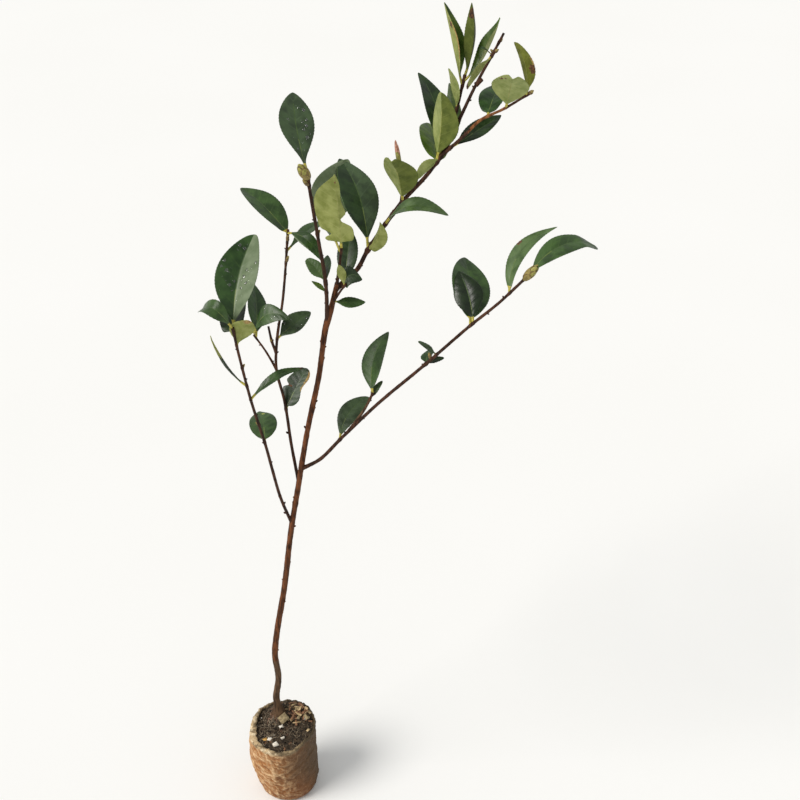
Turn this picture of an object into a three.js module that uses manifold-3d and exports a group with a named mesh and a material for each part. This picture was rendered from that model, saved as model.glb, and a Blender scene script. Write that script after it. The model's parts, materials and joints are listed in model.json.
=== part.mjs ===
// Oil-tea camellia seedling on its root ball: a leaning fabric bag of soil, a kinked main stem with a
// flared foot, five bare boughs, and the leafy shoots that carry on from them.
// Millimetres and degrees, +Z up. The origin is the centre of the bag's flat underside, +X is to the
// right and +Y to the back. A heading of 0 points to +X and 90 to +Y, and a rise of 90 is straight up.

import * as THREE from "three";
import { mergeVertices } from "three/addons/utils/BufferGeometryUtils.js";
import Module from "manifold-3d";

const clearance = 0.3;

// Root ball: the bag leans to the left, and its rim is lower at the front and on the left.
const bag = { footRadius: 26, bellyRadius: 28.6, rimRadius: 29.4, height: 76, wall: 1.2, toe: 3, sides: 36 };
const bagLean = -3;
const rimSlope = { x: 0.1, y: 0.2 };
// Shares of the bag's height, each with how far its wall stands out past the belly radius there.
const bagSwell = [[0.18, -0.6], [0.5, 0], [0.8, 0.3]];
const bagDents = { depth: 0.4, waves: [3, 5], turns: [0.6, 2.1] };
const soil = { belowRim: 4, edgeGap: 0.3, moundRadius: 17, flatRadius: 9, rings: 7, ringMargin: 1 };
const soilLumps = { height: 0.8, acrossRate: 0.45, backRate: 0.38 };

// Main stem: legs of [length, heading, rise] from the soil to the last fork.
const stem = {
  foot: new THREE.Vector3(-7.5, 13, 79),
  legs: [
    [6, 0, 90], [14, 200, 84], [25, 350, 82], [31, 200, 87], [32, 355, 83], [48, 355, 80], [68, 350, 82],
    [50, 350, 80], [54, 350, 80], [54, 350, 78], [42, 340, 81], [20, 0, 75], [21, 10, 76],
  ],
  footRadius: 3,
  midRadius: 2.35,
  tipRadius: 1.95,
  flare: 3.8,
  flareHeight: 6.5,
  forkSwelling: 0.5,
  forkPlace: 434,
  forkReach: 14,
  sides: 8,
};
// Old knobs on the stem: [place, heading, size].
const stemKnobs = [[186, 20, 1.6], [252, 150, 1.5], [351, 330, 1.8], [398, 20, 1.7], [414, 200, 1.5]];
const knobForm = { rise: 20, sunk: 0.4, girth: 2 };
// Where a limb leaves its parent it is thicker.
const collar = { swelling: 0.35, reach: 5 };

// Leaves: stations along a leaf with its half width there as a share of the widest place.
const leafStations = [[0, 0], [0.1, 0], [0.22, 0.62], [0.42, 1], [0.64, 0.9], [0.84, 0.52], [1, 0.03]];
const leafForm = {
  stalkHalfWidth: 0.8,
  stalkHalfDepth: 0.6,
  tipHalfWidth: 0.32,
  thickness: 0.012,
  fold: 12,
  foldSpread: 10,
  arch: 0.05,
  room: 2,
  seed: 2027,
};
const budForm = { sides: 5, rings: 4, pointed: 0.45, forward: 0.42 };
const boughSides = 8;
const twigSides = 5;
const ringSpacing = 11;

// Shoots. Each has its place on its parent, its legs, its radii, and the length that is bare bough.
// A leaf is [place, heading, rise, length, width over length, roll about its midrib, arch over length,
// sideways bow over length].
// A bud is [place, heading, rise, length, thickness]. A twig is a smaller shoot of the same kind.
const shoots = [
  {
    name: "left_low",
    place: 230,
    legs: [[33, 220, 73], [63, 235, 77], [50, 240, 74], [46, 250, 74], [34, 255, 74]],
    radius: [1.35, 1],
    bare: 92,
    leaves: [
      [99, 101, 0, 46, 0.48, 0, 0.05, 0.03],
      [149, 25, 25, 47, 0.18, 15, 0.12],
      [164, 143, 44, 47, 0.13, 33, -0.1],
      [208, 319, 62, 30, 0.62, -39],
      [224, 92, 15, 40, 0.54, -15],
      [225, 150, 29, 29, 0.38, -30, 0.46],
      [222, 78, 40, 77, 0.44, 0, 0.05, -0.045],
    ],
    buds: [[120, 200, 50, 4, 1.8], [184, 30, 50, 4, 1.8]],
  },
  {
    name: "left_mid",
    place: 274,
    legs: [[33, 125, 75], [39, 115, 73], [27, 130, 71], [25, 80, 74], [33, 55, 73], [55, 70, 73]],
    radius: [1.35, 0.95],
    bare: 56,
    leaves: [
      [65, 50, 45, 37, 0.56, 15],
      [124, 35, 25, 35, 0.48, 25],
      [195, 42, 10, 42, 0.42, -5],
      [209, 325, -27, 36, 0.25, 25, 0.2, -0.02],
      [209, 140, 27, 54, 0.46, 0, 0.08, -0.03],
    ],
    buds: [[186, 320, 55, 4.5, 2], [202, 60, 75, 8, 2.6]],
    twigs: [
      {
        place: 99,
        legs: [[17, 150, 56], [16, 155, 51]],
        radius: [0.95, 0.75],
        leaves: [
          [30, 95, 40, 47, 0.44, 40],
          [33, 350, 29, 35, 0.48, 45, 0.1, -0.29],
        ],
      },
      {
        place: 113,
        legs: [[9, 140, 64], [13, 130, 73]],
        radius: [1.1, 0.9],
        buds: [[10, 250, 40, 3.5, 1.8]],
      },
    ],
  },
  {
    name: "left_top",
    place: 431,
    legs: [[36, 275, 79], [42, 250, 76], [45, 250, 75], [15, 260, 75]],
    radius: [1.5, 1.15],
    bare: 20,
    leaves: [
      [29, 155, 30, 14, 0.36, -10],
      [37, 90, 25, 27, 0.4, -35],
      [40, 140, 35, 22, 0.5, -20],
      [137, 105, 45, 60, 0.43, 15, 0.05, -0.06],
    ],
    buds: [[133, 205, 60, 16, 8.2], [122, 215, 45, 6, 2.6], [84, 20, 55, 4, 2]],
  },
  {
    name: "right",
    place: 289,
    legs: [
      [20, 345, 37], [33, 345, 52], [49, 345, 51], [54, 345, 48], [48, 345, 49], [31, 345, 47], [30, 345, 51],
    ],
    radius: [1.5, 1.05],
    bare: 41,
    leaves: [
      [49, 55, 27, 44, 0.38, 10, 0.05, -0.12],
      [156, 80, 10, 17, 0.6, -25],
      [156, 20, 10, 15, 0.36, 15],
      [168, 160, 33, 17, 0.36, -5],
      [206, 92, 25, 63, 0.52, 20],
      [209, 108, 40, 42, 0.53, -15, 0.05, 0.05],
      [247, 45, 35, 61, 0.22, -10, 0.1, -0.155],
      [268, 15, 22, 52, 0.46, 0, 0.17],
    ],
    buds: [[263, 350, 52, 16, 7], [164, 20, 60, 5, 2.2]],
    twigs: [
      {
        place: 87,
        legs: [[8, 40, 66], [9, 60, 68]],
        radius: [1.2, 1],
        leaves: [
          [10, 46, 38, 18, 0.36, 0],
          [16, 71, 45, 51, 0.39, -15, 0.05, -0.1],
        ],
      },
    ],
  },
  {
    name: "leader",
    place: 460,
    legs: [
      [12, 25, 37], [10, 20, 38], [15, 30, 56], [23, 25, 52], [22, 25, 48], [24, 25, 41], [24, 25, 48],
    ],
    radius: [1.75, 1.5],
    bare: 14,
    leaves: [
      [16, 85, 40, 34, 0.46, 0],
      [38, 114, 45, 74, 0.37, 5, 0.05, 0.045],
      [38, 318, 64, 30, 0.5, -97, 0.05, -0.08],
      [61, 345, 15, 49, 0.32, 20, 0.28],
      [82, 245, 65, 45, 0.64, -5],
      [124, 225, -20, 28, 0.38, 110],
      [119, 99, 22, 42, 0.58, 25],
      [124.5, 107.5, 40, 70, 0.3, 10, 0.05, 0.07],
      [123, 250, 85, 51, 0.5, -15],
    ],
    buds: [[70, 60, 60, 4, 2]],
    twigs: [
      {
        place: 80,
        legs: [[13, 80, 72], [14, 115, 76]],
        radius: [0.95, 0.85],
        buds: [[26, 110, 55, 17, 3.6]],
      },
    ],
  },
  {
    name: "middle",
    place: 463,
    legs: [[22, 295, 72], [16, 295, 73]],
    radius: [1.15, 0.95],
    bare: 0,
    leaves: [
      [37, 255, 80, 63, 0.58, 10],
      [33, 95, 35, 80, 0.48, 30, 0.05, -0.1],
    ],
  },
  {
    name: "spur",
    place: 449,
    legs: [[13, 325, 57], [10, 325, 56]],
    radius: [0.95, 0.8],
    bare: 0,
    leaves: [
      [1.5, 5, -4, 24, 0.42, 30, 0.05, 0.08],
      [21, 220, 70, 22, 0.4, 30],
      [21, 8, 20, 13, 1, 45, 0.05, -0.42],
    ],
  },
  {
    name: "top",
    parent: "leader",
    place: 128,
    legs: [[12, 40, 57], [20, 55, 69], [25, 55, 67]],
    radius: [1.4, 1.1],
    bare: 0,
    leaves: [
      [5, 85, 45, 50, 0.36, 50],
      [32, 140, 75, 30, 0.34, 70],
      [49, 130, 70, 59, 0.36, 35, -0.01],
      [52, 20, 60, 51, 0.34, -5, -0.1],
      [56, 65, 80, 51, 0.28, -120, -0.05, -0.05],
    ],
    twigs: [
      {
        place: 3,
        legs: [[24, 0, 67], [29, 25, 62], [20, 25, 58], [18, 25, 59]],
        radius: [1.45, 0.9],
        leaves: [[73, 233, -25, 34, 0.24, 80, 0.03]],
        buds: [[76, 350, 35, 5, 2.2], [76, 200, 50, 4, 1.8], [84, 20, 40, 4, 1.8]],
        twigs: [
          {
            place: 51,
            legs: [[6, 345, 45]],
            radius: [1.5, 1.2],
          },
        ],
      },
    ],
  },
  {
    name: "top_right",
    parent: "leader",
    place: 125,
    legs: [[23, 345, 46], [18, 345, 48], [19, 345, 31], [24, 345, 36]],
    radius: [1.25, 0.85],
    bare: 0,
    leaves: [
      [10, 30, 22, 46, 0.34, 20, 0.05, 0.05],
      [47, 73, 15, 42, 0.5, -10],
      [62, 275, 53, 39, 0.68, -10],
      [79, 180, 76, 39, 0.36, 35, 0.05, -0.1],
    ],
    buds: [[81, 350, 40, 5, 2.6]],
  },
];

const finishes = {
  stem: { color: "#6b4430", roughness: 0.8, metalness: 0 },
  bough: { color: "#5a3a30", roughness: 0.8, metalness: 0 },
  leaf: { color: "#34522d", roughness: 0.45, metalness: 0 },
  bag: { color: "#a67c4e", roughness: 0.9, metalness: 0 },
  soil: { color: "#40362b", roughness: 1, metalness: 0 },
};

const wasm = await Module();
wasm.setup();

const radians = THREE.MathUtils.degToRad;
const up = new THREE.Vector3(0, 0, 1);
const back = new THREE.Vector3(0, 1, 0);

function bearing(heading, rise) {
  const flat = Math.cos(radians(rise));
  const turn = radians(heading);
  return new THREE.Vector3(flat * Math.cos(turn), flat * Math.sin(turn), Math.sin(radians(rise)));
}

// A seeded run of numbers between -0.5 and 0.5.
function seededRule(seed) {
  const step = 16807;
  const period = 2147483647;
  let state = seed;
  return () => {
    state = (state * step) % period;
    return state / period - 0.5;
  };
}

function pathOf(start, legs) {
  const points = [start.clone()];
  for (const [length, heading, rise] of legs) {
    points.push(points.at(-1).clone().addScaledVector(bearing(heading, rise), length));
  }
  const path = new THREE.CatmullRomCurve3(points, false, "centripetal");
  path.total = path.getLength();
  return path;
}

function pointAt(path, place) {
  return path.getPointAt(THREE.MathUtils.clamp(place / path.total, 0, 1));
}

function tangentAt(path, place) {
  return path.getTangentAt(THREE.MathUtils.clamp(place / path.total, 0, 1));
}

// A closed mesh with its shared corners merged and its flattened triangles left out.
function closedMesh(geometry) {
  geometry.deleteAttribute("normal");
  geometry.deleteAttribute("uv");
  const merged = mergeVertices(geometry, 1e-4);
  const corners = merged.index.array;
  const kept = [];
  for (let i = 0; i < corners.length; i += 3) {
    const [a, b, c] = corners.slice(i, i + 3);
    if (a !== b && b !== c && c !== a) kept.push(a, b, c);
  }
  merged.setIndex(kept);
  return merged;
}

function solidOf(geometry) {
  const mesh = closedMesh(geometry);
  const vertProperties = new Float32Array(mesh.attributes.position.array);
  const triVerts = new Uint32Array(mesh.index.array);
  return new wasm.Manifold(new wasm.Mesh({ numProp: 3, vertProperties, triVerts }));
}

function geometryOf(solid) {
  const mesh = solid.getMesh();
  const geometry = new THREE.BufferGeometry();
  geometry.setAttribute("position", new THREE.BufferAttribute(new Float32Array(mesh.vertProperties), 3));
  geometry.setIndex(Array.from(mesh.triVerts));
  return geometry;
}

// Moves every vertex of a geometry by a rule on its own position.
function reshape(geometry, rule) {
  const places = geometry.attributes.position;
  const vertex = new THREE.Vector3();
  for (let i = 0; i < places.count; i += 1) {
    vertex.fromBufferAttribute(places, i);
    rule(vertex);
    places.setXYZ(i, vertex.x, vertex.y, vertex.z);
  }
  return geometry;
}

// A limb: a cylinder bent along its path between two places, with the radius that the rule gives.
// A grown limb is the same limb made fatter and longer by the clearance.
function limb(path, from, to, radiusAt, sides, grown = 0) {
  const steps = Math.max(2, Math.round((to - from) / ringSpacing));
  const blank = new THREE.CylinderGeometry(1, 1, 1, sides, steps);
  return solidOf(reshape(blank, (vertex) => {
    const place = from + (to - from) * (vertex.y + 0.5);
    const along = tangentAt(path, place);
    const across = along.clone().cross(back).normalize();
    const other = across.clone().cross(along);
    const radius = radiusAt(place) + grown;
    const { x, y, z } = vertex;
    const pastEnd = Math.abs(y) === 0.5 ? Math.sign(y) * grown : 0;
    vertex.copy(pointAt(path, place));
    vertex.addScaledVector(across, x * radius);
    vertex.addScaledVector(other, z * radius);
    vertex.addScaledVector(along, pastEnd);
  }));
}

function taper([first, last], path) {
  return (place) => {
    const swelling = collar.swelling * Math.exp(-Math.max(place, 0) / collar.reach);
    return THREE.MathUtils.lerp(first, last, place / path.total) * (1 + swelling);
  };
}

// A bud: a ball drawn out along its bearing and narrowed towards its point.
function bud(path, [place, heading, rise, length, thickness]) {
  const along = bearing(heading, rise);
  const across = along.clone().cross(up).normalize();
  const other = across.clone().cross(along);
  const root = pointAt(path, place);
  return solidOf(reshape(new THREE.SphereGeometry(0.5, budForm.sides, budForm.rings), (vertex) => {
    const { x, y, z } = vertex;
    const girth = thickness * (1 - budForm.pointed * Math.max(y, 0));
    vertex.copy(root);
    vertex.addScaledVector(along, (y + budForm.forward) * length);
    vertex.addScaledVector(across, x * girth);
    vertex.addScaledVector(other, z * girth);
  }));
}

// A leaf: a six-sided blank whose rings become the stations, with two sides on each margin and one on
// each face of the midrib. The blade is folded up along its midrib and arched over its length.
function leaf(root, row, vary, thicker = 1) {
  const [, heading, rise, length, width, roll, arch = leafForm.arch, bow = 0] = row;
  const along = bearing(heading, rise);
  const face = up.clone().addScaledVector(along, -along.z).normalize().applyAxisAngle(along, radians(roll));
  const across = along.clone().cross(face);
  const fold = Math.tan(radians(leafForm.fold + leafForm.foldSpread * vary()));
  const rings = leafStations.length - 1;
  return solidOf(reshape(new THREE.CylinderGeometry(1, 1, 1, 6, rings), (vertex) => {
    const { x, y, z } = vertex;
    const [station, share] = leafStations[Math.round((y + 0.5) * rings)];
    const bend = 4 * arch * (1 - 2 * station);
    const lift = face.clone().addScaledVector(along, -bend).normalize();
    const bladeHalfWidth = Math.max(leafForm.stalkHalfWidth, share * length * width * 0.5);
    const halfWidth = station === 1 ? leafForm.tipHalfWidth : bladeHalfWidth;
    const halfDepth = (share ? leafForm.thickness * length * 0.5 : leafForm.stalkHalfDepth) * thicker;
    const side = Math.abs(x) > 0.5 ? Math.sign(x) : 0;
    const folded = share ? Math.abs(side) * halfWidth * fold : 0;
    const sweep = 4 * station * (1 - station) * length;
    vertex.copy(root);
    vertex.addScaledVector(along, station * length);
    vertex.addScaledVector(face, arch * sweep);
    vertex.addScaledVector(across, side * halfWidth + bow * sweep);
    vertex.addScaledVector(lift, Math.sign(z) * halfDepth + folded);
  }));
}

// The bag's settled shape: a round wall point leans, dents and follows the slanting rim.
function settle(vertex) {
  const height = vertex.z / bag.height;
  const turn = Math.atan2(vertex.y, vertex.x);
  const radius = Math.hypot(vertex.x, vertex.y);
  let dent = 0;
  bagDents.waves.forEach((wave, i) => {
    dent += Math.sin(wave * turn + bagDents.turns[i]) * bagDents.depth;
  });
  const spread = 1 + (dent / bag.rimRadius) * Math.min(1, 2 * height);
  vertex.x = Math.cos(turn) * radius * spread + bagLean * height;
  vertex.y = Math.sin(turn) * radius * spread;
  vertex.z += (rimSlope.x * vertex.x + rimSlope.y * vertex.y) * height ** 2;
}

function revolved(profile) {
  const points = profile.map(([radius, height]) => new THREE.Vector2(radius, height));
  return new THREE.LatheGeometry(points, bag.sides).rotateX(Math.PI / 2);
}

function wallProfile(inset) {
  const { footRadius, bellyRadius, height, toe } = bag;
  const wall = bagSwell.map(([share, swell]) => [bellyRadius + swell - inset, height * share]);
  return [[footRadius - toe - inset, inset], [footRadius - inset, toe], ...wall];
}

function bagGeometry() {
  const outer = [[0, 0], ...wallProfile(0), [bag.rimRadius, bag.height]];
  const inner = [[0, bag.wall], ...wallProfile(bag.wall), [bag.rimRadius - bag.wall, bag.height]];
  return closedMesh(reshape(revolved([...outer, ...inner.reverse()]), settle));
}

// The soil fills the bag, slopes with its rim and rises to a flat place under the stem.
function soilGeometry() {
  const inset = bag.wall + clearance;
  const edge = bag.rimRadius - inset - soil.edgeGap;
  const level = bag.height - soil.belowRim;
  const top = Array.from({ length: soil.rings }, (_, i) => [edge * (1 - i / (soil.rings - 1)), level]);
  const geometry = reshape(revolved([[0, inset], ...wallProfile(inset), ...top]), (vertex) => {
    const onTop = vertex.z > level - soil.ringMargin;
    const atEdge = Math.hypot(vertex.x, vertex.y) > edge - soil.ringMargin;
    settle(vertex);
    if (!onTop) return;
    const { x, y } = vertex;
    const away = Math.hypot(x - stem.foot.x, y - stem.foot.y);
    const mound = 1 - THREE.MathUtils.smoothstep(away, soil.flatRadius, soil.moundRadius);
    const lumps = Math.cos(x * soilLumps.acrossRate) * Math.cos(y * soilLumps.backRate);
    const ground = vertex.z + (atEdge ? 0 : soilLumps.height * lumps);
    vertex.z = THREE.MathUtils.lerp(ground, stem.foot.z - clearance, mound);
  });
  return closedMesh(geometry);
}

const part = new THREE.Group();
const limbsAndMasses = [];

function addMesh(name, geometry, finish) {
  const mesh = new THREE.Mesh(geometry, new THREE.MeshStandardMaterial(finish));
  mesh.name = name;
  geometry.computeVertexNormals();
  part.add(mesh);
}

function addSolid(name, solid, finish) {
  limbsAndMasses.push(solid);
  addMesh(name, geometryOf(solid), finish);
}

addMesh("root_bag", bagGeometry(), finishes.bag);
addMesh("soil_plug", soilGeometry(), finishes.soil);

// Main stem, with its old knobs
const stemPath = pathOf(stem.foot, stem.legs);
function stemRadius(place) {
  const { footRadius, midRadius, tipRadius } = stem;
  const share = place / stemPath.total;
  const lower = THREE.MathUtils.lerp(footRadius, midRadius, Math.min(1, share * 2));
  const upper = THREE.MathUtils.lerp(0, midRadius - tipRadius, Math.max(0, share * 2 - 1));
  const fork = stem.forkSwelling * Math.exp(-(((place - stem.forkPlace) / stem.forkReach) ** 2));
  return lower - upper + fork + stem.flare * Math.exp(-Math.max(place, 0) / stem.flareHeight);
}
const stemLength = stemPath.total;
let mainStem = limb(stemPath, 0, stemLength, stemRadius, stem.sides);
for (const [place, heading, size] of stemKnobs) {
  const length = stemRadius(place) + size * (1 - knobForm.sunk);
  mainStem = mainStem.add(bud(stemPath, [place, heading, knobForm.rise, length, size * knobForm.girth]));
}
addSolid("main_stem", mainStem, finishes.stem);

// Boughs and leafy shoots: each starts inside its parent and is cut clear of it.
const paths = { main_stem: stemPath };
const grownStems = [limb(stemPath, 0, stemLength, stemRadius, stem.sides, clearance)];
const vary = seededRule(leafForm.seed);

// The largest body of a solid, without the scraps that a cut leaves.
function largest(solid) {
  return solid.decompose().reduce((best, piece) => (piece.volume() > best.volume() ? piece : best));
}

function cutClear(solid) {
  return largest(grownStems.reduce((rest, grown) => rest.subtract(grown), solid));
}

// A shoot's stem with its buds, leaves and twigs, fused to what it grows from where that is given.
// A leaf that has no room beside an earlier limb or shoot is skipped.
function grow(shoot, path, from, bearer) {
  const radiusAt = taper(shoot.radius, path);
  let mass = cutClear(limb(path, from, path.total, radiusAt, twigSides));
  if (bearer) mass = bearer.add(mass);
  for (const entry of shoot.buds ?? []) mass = mass.add(bud(path, entry));
  for (const entry of shoot.leaves ?? []) {
    const root = pointAt(path, entry[0]);
    const room = leaf(root, entry, () => 0, leafForm.room);
    const blade = leaf(root, entry, vary);
    if (limbsAndMasses.some((other) => !room.intersect(other).isEmpty())) continue;
    mass = mass.add(blade);
  }
  for (const twig of shoot.twigs ?? []) {
    mass = grow(twig, pathOf(pointAt(path, twig.place), twig.legs), 0, mass);
  }
  return mass;
}

for (const shoot of shoots) {
  const path = pathOf(pointAt(paths[shoot.parent ?? "main_stem"], shoot.place), shoot.legs);
  const radiusAt = taper(shoot.radius, path);
  paths[shoot.name] = path;
  if (shoot.bare) {
    const bough = cutClear(limb(path, 0, shoot.bare, radiusAt, boughSides));
    addSolid(`bough_${shoot.name}`, bough, finishes.bough);
  }
  const from = shoot.bare ? shoot.bare + clearance : 0;
  addSolid(`foliage_${shoot.name}`, grow(shoot, path, from), finishes.leaf);
  grownStems.push(limb(path, 0, path.total, radiusAt, boughSides, clearance));
}

export default part;
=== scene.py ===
import json
import random
from bisect import bisect_right
from math import ceil, cos, exp, hypot, pi, radians, sin, sqrt

import bmesh
import bpy
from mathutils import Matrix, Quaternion, Vector, noise

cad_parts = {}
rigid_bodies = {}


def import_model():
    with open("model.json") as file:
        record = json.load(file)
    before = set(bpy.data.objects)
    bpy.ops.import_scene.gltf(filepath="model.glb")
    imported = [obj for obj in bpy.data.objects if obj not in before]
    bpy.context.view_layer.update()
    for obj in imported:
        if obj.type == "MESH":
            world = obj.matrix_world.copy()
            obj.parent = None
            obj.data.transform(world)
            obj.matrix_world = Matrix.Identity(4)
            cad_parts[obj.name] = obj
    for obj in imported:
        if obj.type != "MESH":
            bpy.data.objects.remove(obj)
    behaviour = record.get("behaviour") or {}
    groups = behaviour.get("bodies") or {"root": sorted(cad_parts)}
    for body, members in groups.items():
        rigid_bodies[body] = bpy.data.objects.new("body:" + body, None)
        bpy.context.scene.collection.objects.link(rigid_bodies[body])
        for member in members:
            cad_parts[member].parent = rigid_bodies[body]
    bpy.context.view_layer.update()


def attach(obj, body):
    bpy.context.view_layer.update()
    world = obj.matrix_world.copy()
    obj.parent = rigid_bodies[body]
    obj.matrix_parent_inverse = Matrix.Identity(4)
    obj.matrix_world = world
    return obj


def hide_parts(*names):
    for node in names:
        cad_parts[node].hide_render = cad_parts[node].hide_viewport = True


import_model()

# Sizes are millimetres and degrees, and the meshes are metres.
# A heading of 0 points to +X and 90 to the back, and a rise of 90 is straight up.
mm = 0.001
up = Vector((0, 0, 1))
back = Vector((0, 1, 0))
goldenTurn = radians(137.5)


def lerp(first, last, share):
    return first + (last - first) * share


def eased(low, high, value):  # a soft step from 0 to 1
    share = min(1.0, max(0.0, (value - low) / (high - low)))
    return share * share * (3 - 2 * share)


def hump(distance, reach):  # 1 where there is no distance, gone a few reaches away
    return exp(-((distance / reach) ** 2))


def bearing(heading, rise):
    flat = cos(radians(rise))
    return Vector((flat * cos(radians(heading)), flat * sin(radians(heading)), sin(radians(rise))))


def turnOf(u):  # a column's turn round its skin, in radians
    return 2 * pi * (u % 1)


def aroundAt(turn):  # a level direction
    return Vector((cos(turn), sin(turn), 0))


def spoke(across, other, turn):  # a direction in the plane of two others
    return across * cos(turn) + other * sin(turn)


class LimbPath:  # a smooth path through the ends of its legs, read by the place along it
    tangentReach = 0.6

    def __init__(self, start, legs):
        knots = [Vector(start)]
        for length, heading, rise in legs:
            knots.append(knots[-1] + bearing(heading, rise) * length)
        knots = [2 * knots[0] - knots[1], *knots, 2 * knots[-1] - knots[-2]]
        self.points = [knots[1]]
        self.places = [0.0]
        for before, first, last, after in zip(knots, knots[1:], knots[2:], knots[3:]):
            self.addLeg(before, first, last, after)
        self.total = self.places[-1]

    def addLeg(self, before, first, last, after):
        run = last - first
        gaps = [sqrt((b - a).length) for a, b in ((before, first), (first, last), (last, after))]
        leaving = (first - before) / gaps[0] - (last - before) / (gaps[0] + gaps[1]) + run / gaps[1]
        arriving = run / gaps[1] - (after - first) / (gaps[1] + gaps[2]) + (after - last) / gaps[2]
        leaving *= gaps[1]
        arriving *= gaps[1]
        steps = ceil(run.length)
        for step in range(1, steps + 1):
            t = step / steps
            point = first + leaving * t + (3 * run - 2 * leaving - arriving) * t ** 2
            point += (2 * (first - last) + leaving + arriving) * t ** 3
            self.places.append(self.places[-1] + (point - self.points[-1]).length)
            self.points.append(point)

    def point(self, place):
        index = min(max(bisect_right(self.places, place), 1), len(self.places) - 1)
        first, last = self.places[index - 1], self.places[index]
        return lerp(self.points[index - 1], self.points[index], (place - first) / (last - first))

    def tangent(self, place):
        return (self.point(place + self.tangentReach) - self.point(place - self.tangentReach)).normalized()


# Shaders: sums on wires make their own Math nodes.
class Wire:
    def __init__(self, tree, socket=None):
        self.tree = tree
        self.socket = socket

    def node(self, kind, settings=None, feeds=None, out=0):
        made = self.tree.nodes.new(kind)
        for name, value in (settings or {}).items():
            setattr(made, name, value)
        for name, value in (feeds or {}).items():
            if isinstance(value, Wire):
                self.tree.links.new(value.socket, made.inputs[name])
            else:
                made.inputs[name].default_value = value
        return Wire(self.tree, made.outputs[out])

    def maths(self, operation, first, second=0.0):
        return self.node("ShaderNodeMath", {"operation": operation}, {0: first, 1: second})

    def __add__(self, other):
        return self.maths("ADD", self, other)

    def __sub__(self, other):
        return self.maths("SUBTRACT", self, other)

    def __rsub__(self, other):
        return self.maths("SUBTRACT", other, self)

    def __mul__(self, other):
        return self.maths("MULTIPLY", self, other)

    def __abs__(self):
        return self.maths("ABSOLUTE", self)

    __radd__ = __add__
    __rmul__ = __mul__

    def step(self, low, high):  # a soft step of this value
        limits = {"Value": self, "From Min": low, "From Max": high}
        return self.node("ShaderNodeMapRange", {"interpolation_type": "SMOOTHSTEP"}, limits)

    def mix(self, first, last, blend="MIX"):  # colours mixed by this value
        settings = {"data_type": "RGBA", "blend_type": blend}
        return self.node("ShaderNodeMix", settings, {0: self, 6: first, 7: last}, out=2)

    def grain(self, size, detail=2.0, stretch=(1, 1, 1)):  # noise with spots of a size in millimetres
        place = self.node("ShaderNodeTexCoord", out="Object")
        place = self.node("ShaderNodeMapping", {}, {"Vector": place, "Scale": stretch})
        feeds = {"Vector": place, "Scale": 1 / (size * mm), "Detail": detail}
        return self.node("ShaderNodeTexNoise", {}, feeds)

    def spot(self):  # the place on the piece, as its three parts
        place = self.node("ShaderNodeTexCoord", out="Object")
        parts = self.node("ShaderNodeSeparateXYZ", {}, {0: place})
        return [Wire(self.tree, socket) for socket in parts.socket.node.outputs]

    def relief(self, height, depth):  # a bump of a depth in millimetres
        return self.node("ShaderNodeBump", {}, {"Height": height, "Distance": depth * mm, "Strength": 1.0})

    def across(self):  # the piece's own map, as its two parts
        skin = self.node("ShaderNodeUVMap", {"uv_map": "skin"})
        parts = self.node("ShaderNodeSeparateXYZ", {}, {0: skin})
        return parts, Wire(self.tree, parts.socket.node.outputs[1])


def paint(red, green, blue):  # a screen colour as the shader takes it
    parts = [part / 255 for part in (red, green, blue)]
    return tuple(p / 12.92 if p <= 0.04045 else ((p + 0.055) / 1.055) ** 2.4 for p in parts) + (1.0,)


def finishOf(name, recipe, **constants):
    material = bpy.data.materials.new(name)
    material.use_nodes = True
    shader = material.node_tree.nodes["Principled BSDF"]
    for socket, value in constants.items():
        shader.inputs[socket.replace("_", " ")].default_value = value
    for socket, wire in recipe(Wire(material.node_tree)).items():
        material.node_tree.links.new(wire.socket, shader.inputs[socket])
    return material


def speckledFinish(name, dark, light, size, rough, depth):  # stalks, scales, chips and blemishes
    def recipe(wire):
        spots = wire.grain(size, 4.0).step(0.32, 0.68)
        fine = wire.grain(size * 0.2, 2.0)
        return {
            "Base Color": spots.mix(paint(*dark), paint(*light)),
            "Roughness": rough + fine * 0.2,
            "Normal": wire.relief(fine, depth),
        }
    return finishOf(name, recipe)


def speckledSet(prefix, looks, *shared):
    return [speckledFinish(f"{prefix}_{kind}", *own, *shared) for kind, own in looks.items()]


# Leaf finishes: a dark and a light green and the colour of the veins, glossy above and matt below
upperTints = {
    "dark": ((10, 24, 5), (22, 40, 11), (40, 60, 26)),
    "deep": ((20, 40, 12), (38, 62, 24), (62, 84, 42)),
    "lush": ((28, 54, 16), (48, 78, 30), (72, 98, 48)),
    "dewy": ((44, 60, 36), (64, 84, 52), (88, 106, 76)),
    "mid": ((36, 60, 20), (58, 86, 36), (84, 108, 56)),
    "soft": ((60, 82, 42), (82, 106, 60), (104, 124, 78)),
    # painted sheen: a pale grey green that stands in for light reflected off the glossy blade
    "bloom": ((94, 110, 78), (114, 128, 98), (130, 142, 112)),
    "fresh": ((58, 82, 24), (88, 112, 40), (120, 136, 66)),
}
lowerTints = {
    "olive": ((80, 92, 30), (106, 116, 48), (126, 132, 66)),
    "moss": ((52, 64, 15), (76, 90, 28), (98, 108, 48)),
    "amber": ((92, 96, 30), (120, 126, 50), (138, 140, 68)),
    "pale": ((122, 134, 68), (154, 162, 98), (170, 174, 114)),
    "straw": ((120, 128, 58), (152, 158, 90), (170, 172, 106)),
}
leafGloss = {"dark": 0.2, "usual": 0.28}  # roughness of the glossiest tint and of the others
leafVeins = {"count": 8, "lean": 1.1}
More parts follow.
